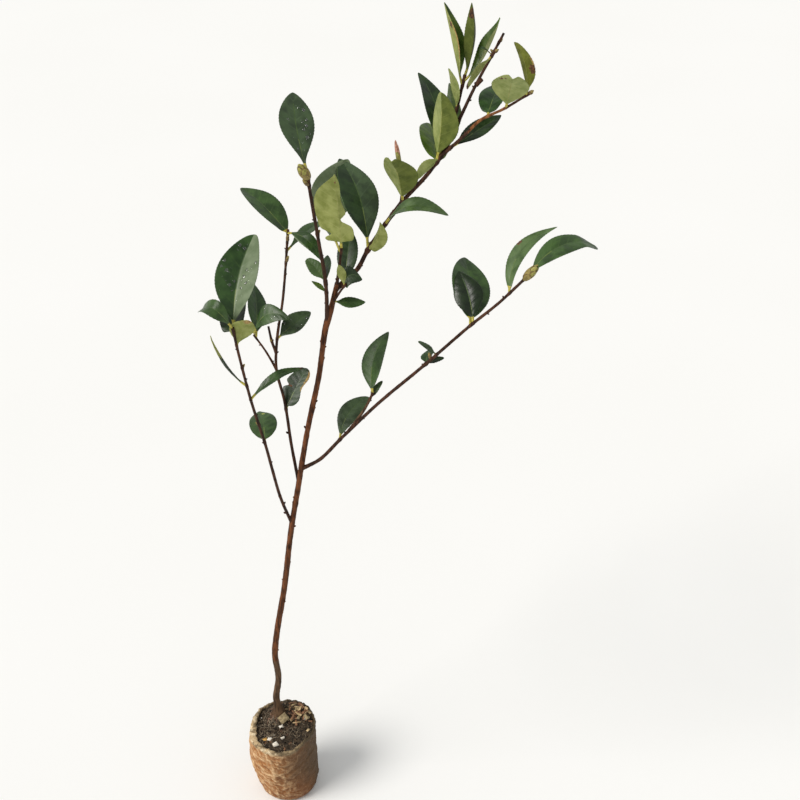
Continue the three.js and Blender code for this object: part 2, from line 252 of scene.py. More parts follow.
# Ribs, stalks and blemishes: name, dark and light colour, size of the specks, roughness and relief
leafTrim = {
    "rib": ("leaf_rib", (84, 102, 46), (112, 126, 62), 3, 0.35, 0.05),
    "ribFar": ("leaf_rib_end", (52, 76, 32), (70, 92, 42), 3, 0.35, 0.05),
    "ribUnder": ("underside_rib", (122, 128, 60), (150, 152, 82), 3, 0.5, 0.05),
    "stalk": ("leaf_stalk", (152, 144, 50), (196, 184, 80), 2, 0.45, 0.05),
    "brown": ("leaf_dead_patch", (46, 28, 18), (112, 74, 40), 1.2, 0.6, 0.12),
    "tan": ("leaf_dry_patch", (132, 100, 52), (176, 150, 86), 1.5, 0.6, 0.12),
    "yellow": ("leaf_yellow_patch", (128, 136, 52), (172, 172, 84), 1.5, 0.45, 0.08),
}


def sideVeins(wire):  # lines that leave the midrib and lean to the tip
    acrossBlade, alongBlade = wire.across()
    fromRib = abs(acrossBlade * 2 - 1)
    phase = wire.maths("FRACT", alongBlade * leafVeins["count"] - fromRib * leafVeins["lean"])
    line = abs(phase - 0.5) * 2
    return line.step(0.82, 1.0) * (1 - fromRib)


def upperFace(rough, dark, light, veins):
    def recipe(wire):
        blotch = wire.grain(9, 3.0).step(0.35, 0.65)
        pores = wire.grain(0.7, 2.0)
        vein = sideVeins(wire)
        colour = blotch.mix(paint(*dark), paint(*light))
        colour = (vein * 0.3).mix(colour, paint(*veins))
        return {
            "Base Color": colour,
            "Roughness": rough + blotch * 0.08 + pores * 0.12,
            "Normal": wire.relief(pores * 0.5 - vein * 0.6, 0.12),
        }
    return recipe


def lowerFace(dark, light, veins):
    def recipe(wire):
        blotch = wire.grain(6, 4.0).step(0.3, 0.7)
        felt = wire.grain(0.5, 3.0)
        vein = sideVeins(wire)
        colour = blotch.mix(paint(*dark), paint(*light))
        colour = (vein * 0.5).mix(colour, paint(*veins))
        return {
            "Base Color": colour,
            "Roughness": 0.5 + felt * 0.25,
            "Normal": wire.relief(felt * 0.5 + vein, 0.15),
        }
    return recipe


leafFinishes = {}
for tint, colours in upperTints.items():
    face = upperFace(leafGloss.get(tint, leafGloss["usual"]), *colours)
    leafFinishes[tint] = finishOf(f"leaf_{tint}", face, Specular_IOR_Level=0.4)
for tint, colours in lowerTints.items():
    leafFinishes[tint] = finishOf(f"underside_{tint}", lowerFace(*colours), Specular_IOR_Level=0.3)
for part, looks in leafTrim.items():
    leafFinishes[part] = speckledFinish(*looks)
leafSlots = list(leafFinishes)

# Bark finishes: dark and light streaks, and a tone that drifts over them
barkTints = {
    "stem": ((52, 29, 16), (124, 74, 43), (84, 53, 33)),
    "foot": ((58, 43, 32), (108, 82, 60), (80, 63, 46)),
    "twig": ((38, 24, 17), (86, 55, 39), (54, 38, 29)),
    "sunny": ((96, 56, 30), (150, 98, 58), (110, 72, 42)),
}
barkFleck = (128, 94, 66)


def barkFinish(name, dark, light, drift):
    def recipe(wire):
        streaks = wire.grain(2.2, 5.0, (1, 1, 0.22))
        flecks = wire.grain(0.55, 3.0)
        tone = wire.grain(24, 2.0).step(0.3, 0.7)
        colour = streaks.step(0.35, 0.66).mix(paint(*dark), paint(*light))
        colour = (tone * 0.45).mix(colour, paint(*drift))
        colour = (flecks.step(0.64, 0.76) * 0.5).mix(colour, paint(*barkFleck))
        return {
            "Base Color": colour,
            "Roughness": 0.55 + flecks * 0.3,
            "Normal": wire.relief(streaks + flecks * 0.4, 0.25),
        }
    return finishOf(name, recipe, Specular_IOR_Level=0.14)


bark = {kind: barkFinish(f"bark_{kind}", *colours) for kind, colours in barkTints.items()}
print("finishes for leaves and bark are ready")


# A skin is a grid wrapped into a closed shape: where its points go, its finish and its own map.
def skinOf(columns, rows, place, pick=lambda u, v: 0, mark=lambda u, v: (u, v)):
    return {"columns": columns, "rows": rows, "place": place, "pick": pick, "mark": mark}


def buildPiece(name, skins, finishes, slot, *nodes):
    bm = bmesh.new()
    skinMap = bm.loops.layers.uv.new("skin")
    bakeMap = bm.loops.layers.uv.new("OFBake")
    cells = ceil(sqrt(len(skins)))
    margin = 0.03  # left free round each skin on the bake map
    room = (1 - 2 * margin) / cells
    for index, skin in enumerate(skins):
        corner = ((index % cells + margin) / cells, (index // cells + margin) / cells)
        size = {"x_segments": skin["columns"], "y_segments": skin["rows"], "size": 1}
        grid = bmesh.ops.create_grid(bm, **size)["verts"]
        spots = {vert: ((vert.co.x + 1) / 2, (vert.co.y + 1) / 2) for vert in grid}
        faces = {face: None for vert in grid for face in vert.link_faces}
        for face in faces:
            corners = [spots[loop.vert] for loop in face.loops]
            middle = [sum(parts) / len(corners) for parts in zip(*corners)]
            face.material_index = skin["pick"](*middle)
            for loop, (u, v) in zip(face.loops, corners):
                loop[skinMap].uv = skin["mark"](u, v)
                loop[bakeMap].uv = (corner[0] + u * room, corner[1] + v * room)
        for vert, (u, v) in spots.items():
            vert.co = skin["place"](u, v) * mm
    bmesh.ops.remove_doubles(bm, verts=bm.verts, dist=1e-7)
    bmesh.ops.recalc_face_normals(bm, faces=bm.faces)
    for face in bm.faces:
        face.smooth = True
    mesh = bpy.data.meshes.new(name)
    bm.to_mesh(mesh)
    bm.free()
    for finish in finishes:
        mesh.materials.append(finish)
    piece = bpy.data.objects.new(name, mesh)
    bpy.context.scene.collection.objects.link(piece)
    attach(piece, "root")
    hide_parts(*nodes)


# Limbs: how close their rings lie, and the bark's relief as a share of the radius
barkForm = {
    "spacing": 0.8,
    "rough": 0.07,
    "ridges": (1.4, 0.11),  # how fine, round the limb and along it
    "pimples": (3.1, 0.9),
    "bumps": 0.24,
    "raggedChange": 6,  # how far one bark runs into the next
}


def ringSpot(around, place, fineness):
    return around * fineness[0] + up * place * fineness[1]


def limbSkin(path, start, end, radiusAt, columns, finishAt=lambda place: 0,
             spacing=barkForm["spacing"], rough=barkForm["rough"]):
    rows = max(4, round((end - start) / spacing)) + 2
    rings = []
    for row in range(rows + 1):
        spot = lerp(start, end, min(1, max(0, (row - 1) / (rows - 2))))
        along = path.tangent(spot)
        across = along.cross(back).normalized()
        rings.append((spot, path.point(spot), across, across.cross(along), radiusAt(spot)))

    def place(u, v):
        row = round(v * rows)
        spot, centre, across, other, radius = rings[row]
        if row in (0, rows):
            return centre
        turn = turnOf(u)
        around = aroundAt(turn)
        grain = noise.fractal(ringSpot(around, spot, barkForm["ridges"]), 0.9, 2.1, 4)
        grain += 0.5 * noise.noise(ringSpot(around, spot, barkForm["pimples"]))
        grain += 0.9 * noise.noise(centre * barkForm["bumps"])
        return centre + spoke(across, other, turn) * radius * (1 + rough * grain)

    def pick(u, v):
        spot = rings[min(rows, round(v * rows))][0]
        ragged = noise.noise(Vector((cos(2 * pi * u), sin(2 * pi * u), spot * 0.3)))
        return finishAt(spot + barkForm["raggedChange"] * ragged)

    return skinOf(columns, rows, place, pick)


# Buds: a pointed egg under overlapping scales, with heights from -0.5 to 0.5 along it
budForm = {
    "pointed": 0.5,
    "forward": 0.42,
    "tipHeight": 0.6,  # the core shows its tip's colour from here
    "scaleThickness": 0.16,
    "scaleWidth": 1.25,
    "scaleFeet": (-0.46, -0.1),  # of the lowest scale and the highest
    "scaleHeights": (0.4, 0.57),
    "scaleTop": 0.47,
    "columns": 12,
    "rows": 9,
}


def flapSide(u):  # from edge to edge across a scale's outside, then back across its inside
    return 3 - 4 * u if u > 0.5 else 4 * u - 1


def budSkins(root, along, length, thickness, scales=0, finish=0, tipFinish=0, edgeFinish=None):
    across = along.orthogonal().normalized()
    other = across.cross(along)

    def onEgg(height, turn, lift):
        pointed = 1 - budForm["pointed"] * max(height, 0)
        girth = thickness * pointed * sqrt(max(0.0, 0.25 - height * height))
        outward = spoke(across, other, turn)
        return root + along * (height + budForm["forward"]) * length + outward * (girth + lift)

    def core(u, v):
        return onEgg(-0.5 * cos(pi * v), turnOf(u), 0)

    def coreColour(u, v):
        return tipFinish if v > budForm["tipHeight"] else finish

    skins = [skinOf(budForm["columns"], budForm["rows"], core, coreColour)]
    for scale in range(scales):
        share = scale / max(1, scales - 1)
        middle = scale * goldenTurn
        low = lerp(*budForm["scaleFeet"], share)
        high = min(budForm["scaleTop"], low + lerp(*budForm["scaleHeights"], share))

        def flap(u, v, middle=middle, low=low, high=high):
            side = flapSide(u)
            width = budForm["scaleWidth"] * sqrt(max(0.0, 1 - v * v)) * min(1, 0.6 + 3 * v)
            lift = budForm["scaleThickness"] * (0.35 + 0.5 * v) * sqrt(thickness)
            depth = 0 if v in (0, 1) else 0.5 * budForm["scaleThickness"] * (1 - side ** 4)
            lift += -depth if u > 0.5 else depth
            return onEgg(lerp(low, high, v), middle + side * width, lift)

        def flapColour(u, v, share=share):
            if edgeFinish is not None and (abs(flapSide(u)) > 0.75 or v > 0.86):
                return edgeFinish
            return tipFinish if share > 0.55 and v > 0.3 else finish

        skins.append(skinOf(budForm["columns"], budForm["rows"], flap, flapColour))
    return skins


# Leaves: an oval blade on a short stalk, with a toothed edge, a rib and shallow quilting
leafForm = {
    "stalk": 0.09,
    "stalkRadius": 1.1,
    "stalkTaper": 0.8,
    "stalkDepth": 0.8,
    "stalkBlend": 0.12,
    "fullLength": 45,  # a shorter leaf has a thinner stalk
    "thickness": 0.42,
    "fold": 12,
    "foldSpread": 10,
    "foldSeed": 2027,
    "baseShape": 1.2,  # a wedge at the stalk
    "tipShape": 0.72,  # a rounded point
    "lowBelly": 0.9,
    "hook": 0.6,
    "toothSpacing": 2.3,
    "toothDepth": 0.26,
    "toothStart": 0.25,
    "toothRows": 3,
    "fewestTeeth": 7,
    "ribWidth": 0.5,
    "ribHeight": 0.4,
    "ribCrease": 0.7,
    "ribHalf": 0.02,
    "palerRib": 0.4,  # how far along the blade the paler rib, the upper and the lower rib run
    "upperRib": 0.85,
    "lowerRib": 0.75,
    "quilt": 0.11,
    "waves": 3.2,
    "ragged": 0.35,
    "edges": (1, 0.96, 0.84, 0.68, 0.5, 0.32, 0.16, 0.03),
    "seed": 31,
}
leafSides = [-edge for edge in leafForm["edges"]] + list(reversed(leafForm["edges"]))
leafColumns = 2 * (len(leafSides) - 1)


def leafRow(place, heading, rise, length, width, roll, arch=0.05, bow=0.0, tint="mid", under="olive",
            **looks):
    shape = {"place": place, "heading": heading, "rise": rise, "length": length, "width": width, "roll": roll}
    return {**shape, "arch": arch, "bow": bow, "tint": tint, "under": under, **looks}


def sideOf(u):  # where a column lies across the blade, and whether it is on the underside
    column = round(u * leafColumns)
    half = leafColumns // 2
    return (leafSides[leafColumns - column], True) if column > half else (leafSides[column], False)


def leafSkin(root, row, fold, deal):
    along = bearing(row["heading"], row["rise"])
    face = (up - along * along.z).normalized()
    face.rotate(Quaternion(along, radians(row["roll"])))
    across = along.cross(face)
    length = row["length"]
    halfBlade = length * row["width"] / 2
    teeth = max(leafForm["fewestTeeth"], round(length / leafForm["toothSpacing"]))
    rows = leafForm["toothRows"] * teeth
    stalk = row.get("stalk", leafForm["stalk"])
    stalkRadius = leafForm["stalkRadius"] * min(1, sqrt(length / leafForm["fullLength"]))
    fold = radians(row.get("fold", fold))
    curl = row.get("curl", deal.uniform(-0.1, 0.02))
    twist = radians(deal.uniform(-10, 10))
    tip = row.get("tip", deal.uniform(0.0, 0.03))
    wave = row.get("wave", deal.uniform(0.01, 0.035))
    phases = (deal.uniform(0, 6), deal.uniform(0, 6))
    tipShape = row.get("blunt", leafForm["tipShape"])
    notch = row.get("notch", 0)
    bites = row.get("bites", ())
    patches = row.get("patches", ())
    undersides = row.get("halves", (row["under"], row["under"]))
    uppers = row.get("faces", (row["tint"], row["tint"]))
    baseShape = row.get("square", leafForm["baseShape"])
    belly = row.get("belly", leafForm["lowBelly"])
    stalkEnd = stalk + (0.02 if baseShape > 0.5 else -0.02)  # a wide base is green at once

    def spine(t):
        sweep = 4 * t * (1 - t) * length
        droop = tip * length * eased(row.get("hook", leafForm["hook"]), 1.0, t)
        return root + along * t * length + face * (row["arch"] * sweep - droop) + across * row["bow"] * sweep

    def halfWidth(side, t):
        blade = min(1.0, max(0.0, (t - stalk) / (1 - stalk)))
        share = 0
        if 0 < blade < 1:
            share = sin(pi * blade ** belly) ** lerp(baseShape, tipShape, blade)
        half = hypot(stalkRadius * (1 - leafForm["stalkTaper"] * t), share * halfBlade)
        for biteSide, centre, reach, depth in bites:
            if side * biteSide > 0:
                half *= 1 - depth * hump(t - centre, reach)
        return half

    def point(side, t, under):
        flat = eased(0.7 * stalk, stalk + leafForm["stalkBlend"], t)
        half = halfWidth(side, t)
        x = side * half
        if abs(side) > 0.9 and t > leafForm["toothStart"]:
            tooth = leafForm["toothDepth"] * (round(t * rows) % leafForm["toothRows"]) / 2
            x += tooth * (1 if side > 0 else -1) * (1 - t ** 6)
        roundDepth = stalkRadius * leafForm["stalkDepth"] * sqrt(max(0.0, 1 - side * side))
        depth = lerp(roundDepth, leafForm["thickness"] / 2 * (1 - side ** 8), flat)
        if under:
            depth += leafForm["ribHeight"] * (1 - t) * flat * hump(x, leafForm["ribWidth"])
        else:
            depth -= 0.5 * leafForm["ribHeight"] * (1 - t) * flat * hump(x, leafForm["ribWidth"])
        z = -depth if under else depth
        z += flat * sin(fold) * (hypot(x, leafForm["ribCrease"]) - leafForm["ribCrease"])
        x *= lerp(1, cos(fold), flat)
        z += flat * curl * half * side * side
        phase = phases[0 if side > 0 else 1]
        z += flat * wave * halfBlade * side ** 2 * sin(leafForm["waves"] * pi * t + phase)
        ripple = cos(2 * pi * (leafVeins["count"] * t - leafVeins["lean"] * abs(side)))
        z += flat * leafForm["quilt"] * ripple * 4 * abs(side) * (1 - abs(side))
        slope = 4 * row["arch"] * (1 - 2 * t)
        lift = (face - along * slope).normalized()
        turn = Quaternion(along, twist * t)
        pull = along * (-notch * length * eased(0.55, 1, t) * (1 - side * side) ** 2)
        return spine(t) + pull + turn @ (across * x + lift * z)

    def place(u, v):
        if round(v * rows) in (0, rows):
            return spine(v) if v < 0.5 else spine(v) - along * notch * length
        side, under = sideOf(u)
        return point(side, v, under)

    def finishName(u, v):
        column = int(u * leafColumns)
        under = column >= leafColumns // 2
        side = sum(sideOf(c / leafColumns)[0] for c in (column, column + 1)) / 2
        if v < stalkEnd:
            return "stalk"
        ragged = 1 + leafForm["ragged"] * noise.noise(Vector((v * 30, side * 5, length)))
        for t, s, reachT, reachS, colour in patches:
            if hypot((v - t) / reachT, (side - s) / reachS) < ragged:
                return colour
        if abs(side) < leafForm["ribHalf"] and under and v < leafForm["lowerRib"]:
            return "ribUnder"
        if abs(side) < leafForm["ribHalf"] and not under and v < leafForm["upperRib"]:
            return "rib" if v < leafForm["palerRib"] else "ribFar"
        return (undersides if under else uppers)[side > 0]

    def pick(u, v):
        return leafSlots.index(finishName(u, v))

    def mark(u, v):
        return ((sideOf(u)[0] + 1) / 2, v)

    return skinOf(leafColumns, rows, place, pick, mark), point


# The plant: each limb has legs of (length, heading, rise), and its place on its parent.
# A leaf is (place, heading, rise, length, width over length, roll), then its arch, bow and looks.
# A bud is (place, heading, rise, length, thickness), and a bark patch is (start, end, finish).
# On a leaf a bite is (side, place, reach, depth), a patch (place, side, reach along and across, finish)
# and a bead of water (side, place, radius).
stem = {
    "foot": (-7.5, 13, 79),
    "legs": [
        (6, 0, 90), (14, 200, 84), (25, 350, 82), (31, 200, 87), (32, 355, 83), (48, 355, 80), (68, 350, 82),
        (50, 350, 80), (54, 350, 80), (54, 350, 78), (42, 340, 81), (20, 0, 75), (21, 10, 76),
    ],
    "footRadius": 3.0,
    "midRadius": 2.35,
    "tipRadius": 1.95,
    "flare": 3.8,
    "flareHeight": 6.5,
    "roots": [(200, 1.5), (245, 1.3), (310, 2.0), (350, 2.2), (120, 1.4)],  # heading and radius
    "rootLegs": [(5, 0, -10), (6, 15, -38)],  # headings from the root's own
    "rootPlace": 2,
    "rootTip": 0.5,
    "rootColumns": 10,
    "rootRough": 0.15,
    "forkSwelling": 0.5,
    "forkPlace": 434,
    "forkReach": 14,
    "knobs": [(186, 20, 1.6), (252, 150, 1.5), (351, 330, 1.8), (398, 20, 1.7), (414, 200, 1.5)],
    "knobRise": 20,
    "knotSwelling": 0.16,
    "knotReach": 3.5,
    "sunk": 2,
    "barkChange": 70,
    "scarSize": 1.15,
    "columns": 28,
    "spacing": 0.9,
}
collar = {"swelling": 0.35, "reach": 5}  # where a limb leaves its parent
joint = {"swelling": 0.25, "reach": 1.6, "most": 0.4}  # where a leaf or bud stands
shoots = [
    {
        "name": "left_low",
        "place": 230,
        "legs": [(33, 220, 73), (63, 235, 77), (50, 240, 74), (46, 250, 74), (34, 255, 74)],
        "radius": (1.35, 1.0),
        "bare": 92,
        "leaves": [
            leafRow(99, 101, 0, 46, 0.48, 0, 0.05, 0.03, square=0.5,
                    patches=[(0.84, 0.4, 0.03, 0.2, "yellow")]),
            leafRow(149, 25, 25, 47, 0.18, 15, 0.12, tip=0.08, fold=20,
                    patches=[(0.98, 0, 0.05, 2, "brown")]),
            leafRow(164, 143, 44, 47, 0.13, 33, -0.1, tint="deep", patches=[(0.85, 0, 0.24, 2, "yellow")]),
            leafRow(208, 319, 62, 30, 0.62, -39, under="straw", patches=[(0.95, -0.3, 0.12, 1, "tan")]),
            leafRow(220, 92, 15, 40, 0.56, -22, tint="deep", square=0.12),
            leafRow(225, 150, 20, 28, 0.48, -30, 0.55, blunt=0.08),
            # painted sheen: this leaf's right half takes the pale sheen tint
            leafRow(222, 78, 40, 77, 0.44, 0, 0.05, -0.045, fold=24, blunt=0.58, faces=("lush", "bloom"),
                    drops=30, beads=[(0.28, 0.53, 1.5), (0.36, 0.6, 1.2)]),
        ],
        "buds": [(120, 200, 50, 4, 1.8), (184, 30, 50, 4, 1.8)],
    },
    {
        "name": "left_mid",
        "place": 274,
        "legs": [(33, 125, 75), (39, 115, 73), (27, 130, 71), (25, 80, 74), (33, 55, 73), (55, 70, 73)],
        "radius": (1.35, 0.95),
        "bare": 56,
        "leaves": [
            leafRow(65, 50, 45, 37, 0.56, 15, tint="deep", blunt=0.5, square=0.5,
                    bites=[(-1, 0.5, 0.05, 0.35), (1, 0.55, 0.25, 0.5)],
                    patches=[(0.8, 0.95, 0.3, 0.22, "tan"), (0.5, -0.8, 0.03, 0.3, "brown")]),
            leafRow(124, 35, 25, 35, 0.48, 25, tint="dewy", drops=9),
            leafRow(195, 48, 16, 44, 0.36, -5, belly=1.2),
            # painted highlight: a pale strip of the sheen tint along one margin
            leafRow(209, 325, -23, 38, 0.29, 25, 0.3, -0.02, patches=[(0.42, 1, 0.36, 0.14, "bloom")]),
            leafRow(209, 140, 27, 55, 0.46, 0, 0.08, -0.03, square=0.7, stalk=0.03),
        ],
        "buds": [(186, 330, 65, 8, 2.4), (202, 60, 75, 8, 2.6)],
        "twigs": [
            {
                "place": 99,
                "legs": [(17, 150, 56), (16, 155, 51)],
                "radius": (0.95, 0.75),
                "leaves": [
                    leafRow(30, 95, 40, 47, 0.44, 40, tint="lush"),
                    leafRow(33, 350, 29, 35, 0.48, 45, 0.1, -0.29, drops=5),
                ],
            },
            {
                "place": 113,
                "legs": [(9, 140, 64), (13, 130, 73)],
                "radius": (1.1, 0.9),
                "buds": [(10, 250, 40, 3.5, 1.8)],
            },
        ],
    },
    {
        "name": "left_top",
        "place": 431,
        "legs": [(36, 275, 79), (42, 250, 76), (45, 250, 75), (15, 260, 75)],
        "radius": (1.5, 1.15),
        "bare": 20,
        "leaves": [
            leafRow(29, 155, 30, 14, 0.36, -10, tint="fresh"),
            leafRow(37, 90, 25, 27, 0.5, -35, tint="deep"),
            leafRow(40, 140, 35, 22, 0.5, -20, tint="soft", blunt=0.4),
            leafRow(137, 105, 45, 60, 0.43, 15, 0.05, -0.06, tint="dewy", belly=1.15,
                    drops=16, beads=[(0.6, 0.41, 1.5), (0.55, 0.55, 1.3), (0.6, 0.62, 1.1)]),
        ],
        "buds": [(133, 205, 60, 14.5, 6.9), (127, 215, 50, 8, 3.2), (84, 20, 55, 4, 2)],
    },
    {
        "name": "right",
        "place": 289,
        "legs": [
            (20, 345, 37), (33, 345, 52), (49, 345, 51), (54, 345, 48), (48, 345, 49), (31, 345, 47),
            (30, 345, 51),
        ],
        "radius": (1.5, 1.05),
        "bare": 41,
        "leaves": [
            leafRow(49, 55, 27, 44, 0.38, 10, 0.05, -0.12, tint="dewy", belly=1.1, blunt=0.5, square=0.7),
            leafRow(156, 80, 10, 17, 0.6, -25, tint="lush", blunt=0.5),
            leafRow(156, 20, 10, 15, 0.36, 15, tint="deep", blunt=0.5),
            leafRow(168, 160, 33, 17, 0.36, -5, tint="dewy", blunt=0.4),
            leafRow(206, 92, 25, 63, 0.52, 20, blunt=0.7, square=0.8),
            leafRow(209, 108, 40, 42, 0.53, -15, 0.05, 0.05, tint="dark", fold=20, curl=-0.32),
            leafRow(247, 45, 35, 61, 0.235, -10, 0.1, -0.155, tint="soft", square=0.6, stalk=0.05,
                    patches=[(0.6, -0.85, 0.035, 0.22, "brown")]),
            leafRow(268, 15, 22, 52, 0.46, 0, 0.185, tip=0.1, hook=0.8, square=0.7, blunt=0.45),
        ],
        "buds": [(263, 350, 52, 17, 6.2), (162, 120, 55, 6, 2.8)],
        "twigs": [
            {
                "place": 61,
                "legs": [(24, 0, 58), (17, 6, 65)],
                "radius": (1.2, 1),
                "barkPatch": (0, 34, 2),
                "leaves": [
                    leafRow(34, 46, 38, 18, 0.36, 0, tint="dewy", blunt=0.5),
                    leafRow(40, 71, 45, 51, 0.39, -15, 0.05, -0.1, belly=0.97, square=0.95, stalk=0.05),
                ],
            },
        ],
    },
    {
        "name": "leader",
        "place": 460,
        "legs": [
            (12, 25, 37), (10, 20, 38), (15, 30, 56), (23, 25, 52), (22, 25, 48), (24, 25, 41),
            (24, 25, 48),
        ],
        "radius": (1.75, 1.5),
        "bare": 14,
        "leaves": [
            leafRow(9.5, 83, 40, 40, 0.39, 0, tint="deep", square=0.6),
            # painted sheen: this leaf's right half takes a paler grey-green tint
            leafRow(38, 114, 45, 74, 0.385, 5, 0.16, 0.005, faces=("deep", "dewy"),
                    patches=[(0.5, -1, 0.5, 0.03, "soft")]),
            leafRow(38, 318, 64, 30, 0.5, -97, 0.05, -0.08, fold=38, under="straw", square=0.2),
            leafRow(61, 345, 15, 49, 0.32, 20, 0.28, tint="soft", belly=1.05),
            leafRow(82, 245, 65, 45, 0.64, -5, fold=24, notch=0.06, blunt=0.5, halves=("olive", "pale")),
            leafRow(124, 225, -20, 28, 0.38, 110, under="pale", bites=[(1, 0.5, 0.5, 0.6)]),
            leafRow(119, 99, 22, 42, 0.58, 25, tint="fresh", square=0.35),
            leafRow(124.5, 107.5, 40, 70, 0.3, 10, 0.05, 0.07, tint="deep"),
            # painted light: the underside's olive and pale halves strengthen its shaded and lit halves
            leafRow(119, 320, 86, 54, 0.5, -85, fold=30, blunt=0.6, halves=("olive", "pale"), stalk=0.12),
        ],
        "buds": [(70, 60, 60, 4, 2)],
        "twigs": [
            {
                "place": 80,
                "legs": [(13, 80, 72), (14, 115, 76)],
                "radius": (0.95, 0.85),
                "buds": [(26, 110, 60, 22, 3.2)],
            },
        ],
    },
    {
        "name": "middle",
        "place": 463,
        "legs": [(22, 295, 72), (16, 295, 73)],
        "radius": (1.15, 0.95),
        "bare": 0,
        "leaves": [
            leafRow(37, 255, 80, 63, 0.58, 10, under="straw", fold=8, curl=0.04, square=0.2, blunt=1.2,
                    bites=[(1, 0.18, 0.035, 0.5), (-1, 0.64, 0.44, 0.88), (-1, 0.36, 0.06, 0.9)],
                    patches=[(0.88, 0, 0.02, 0.1, "brown")]),
            # painted sheen: this whole leaf takes the pale sheen tint
            leafRow(33, 86, 35, 80, 0.48, 30, -0.05, -0.12, tint="bloom", bites=[(1, 0.27, 0.22, 0.65)]),
        ],
    },
    {
        "name": "spur",
        "place": 449,
        "legs": [(13, 325, 57), (10, 325, 56)],
        "radius": (0.95, 0.8),
        "bare": 0,
        "leaves": [
            leafRow(1.5, 5, -4, 24, 0.42, 30, 0.05, 0.08),
            leafRow(21, 243, 70, 22, 0.3, 30, under="straw"),
            leafRow(20, 8, 20, 14.5, 0.95, 45, 0.05, -0.42, tint="deep", square=0.15),
        ],
    },
    {
        "name": "top",
        "parent": "leader",
        "place": 128,
        "legs": [(12, 40, 57), (20, 55, 69), (25, 55, 67)],
        "radius": (1.4, 1.1),
        "bare": 0,
        "leaves": [
            leafRow(5, 85, 45, 50, 0.36, 50, tint="fresh"),
            leafRow(32, 140, 75, 30, 0.44, 70, under="pale", blunt=0.5),
            leafRow(49, 130, 70, 59, 0.36, 35, -0.01, fold=45, tint="fresh", under="straw",
                    patches=[(0.55, -0.9, 0.2, 0.12, "tan"), (0.75, -0.6, 0.06, 0.2, "brown")]),
            leafRow(52, 20, 60, 51, 0.34, -5, -0.1, fold=45, tint="fresh", under="pale", wave=0.08),
            leafRow(56, 65, 80, 51, 0.28, -120, -0.05, -0.05, fold=40, halves=("moss", "olive"), tint="fresh",
                    patches=[(0.86, 0.2, 0.07, 0.7, "brown"), (0.5, -0.95, 0.25, 0.12, "brown")]),
        ],
        "twigs": [
            {
                "place": 3,
                "legs": [(24, 0, 67), (29, 25, 62), (20, 25, 58), (18, 25, 59)],
                "radius": (1.45, 0.9),
                "leaves": [
                    leafRow(73, 233, -25, 34, 0.24, 80, 0.03, tint="fresh", under="straw", blunt=0.3,
                            patches=[(0.97, 0, 0.05, 2, "brown")]),
                    leafRow(74, 180, -25, 9.5, 0.5, 0, 0.8, tint="deep"),
                ],
                "buds": [(76, 350, 35, 5, 2.2), (76, 200, 50, 4, 1.8), (84, 20, 40, 4, 1.8)],
                "twigs": [{"place": 51, "legs": [(6, 345, 45)], "radius": (1.5, 1.2)}],
            },
        ],
    },
    {
        "name": "top_right",
        "parent": "leader",
        "place": 125,
        "legs": [(23, 345, 46), (18, 345, 48), (19, 345, 31), (24, 345, 36)],
        "radius": (1.25, 0.85),
        "bare": 0,
        "barkPatch": (30, 62, 1),
        "leaves": [
            leafRow(10, 30, 22, 46, 0.34, 20, 0.05, 0.05, tint="deep"),
            leafRow(47, 73, 15, 42, 0.5, -10, tint="lush", square=0.4),
            leafRow(62, 275, 53, 39, 0.68, -10, notch=0.08, blunt=0.45, under="pale",
                    patches=[(0.8, 0.75, 0.03, 0.08, "brown"), (0.86, 0.55, 0.02, 0.06, "brown")]),
            leafRow(79, 180, 76, 39, 0.36, 35, 0.05, -0.1, under="amber", blunt=0.45,
                    patches=[(0.5, -0.7, 0.09, 0.3, "brown"), (0.62, -0.95, 0.1, 0.14, "tan")]),
        ],
        "buds": [(81, 350, 40, 5, 2.6)],
    },
]


def seededRule(seed):  # numbers between -0.5 and 0.5
    modulus = 2147483647
    state = seed
    while True:
        state = state * 16807 % modulus
        yield state / modulus - 0.5


stemPath = LimbPath(stem["foot"], stem["legs"])


def stemRadius(place):
    share = place / stemPath.total
    lower = lerp(stem["footRadius"], stem["midRadius"], min(1, share * 2))
    upper = (stem["midRadius"] - stem["tipRadius"]) * max(0, share * 2 - 1)
    fork = stem["forkSwelling"] * hump(place - stem["forkPlace"], stem["forkReach"])
    knots = sum(stem["knotSwelling"] * hump(place - knob, stem["knotReach"]) for knob, *_ in stem["knobs"])
    return lower - upper + fork + knots + stem["flare"] * exp(-max(place, 0) / stem["flareHeight"])


def taper(shoot, path):
    nodes = [leaf["place"] for leaf in shoot.get("leaves", ())] + [bud[0] for bud in shoot.get("buds", ())]

    def radiusAt(place):
        radius = lerp(*shoot["radius"], min(1, max(0, place / path.total)))
        joints = sum(joint["swelling"] * hump(place - node, joint["reach"]) for node in nodes)
        foot = collar["swelling"] * exp(-max(place, 0) / collar["reach"])
        return radius * (1 + foot + min(joint["most"], joints))

    return radiusAt


# Scars of old leaves stand out along every limb.
scars = {
    "spacing": 21,
    "firstGap": (0.3, 0.8),  # shares of the spacing
    "gaps": (0.4, 1.6),
    "sizes": (0.7, 1.15),
    "length": 2.4,
    "thickness": 1.6,
    "lean": 0.9,
    "sunk": 0.75,
    "clearEnd": 2,
    "seed": 9,
}
scarDeal = random.Random(scars["seed"])


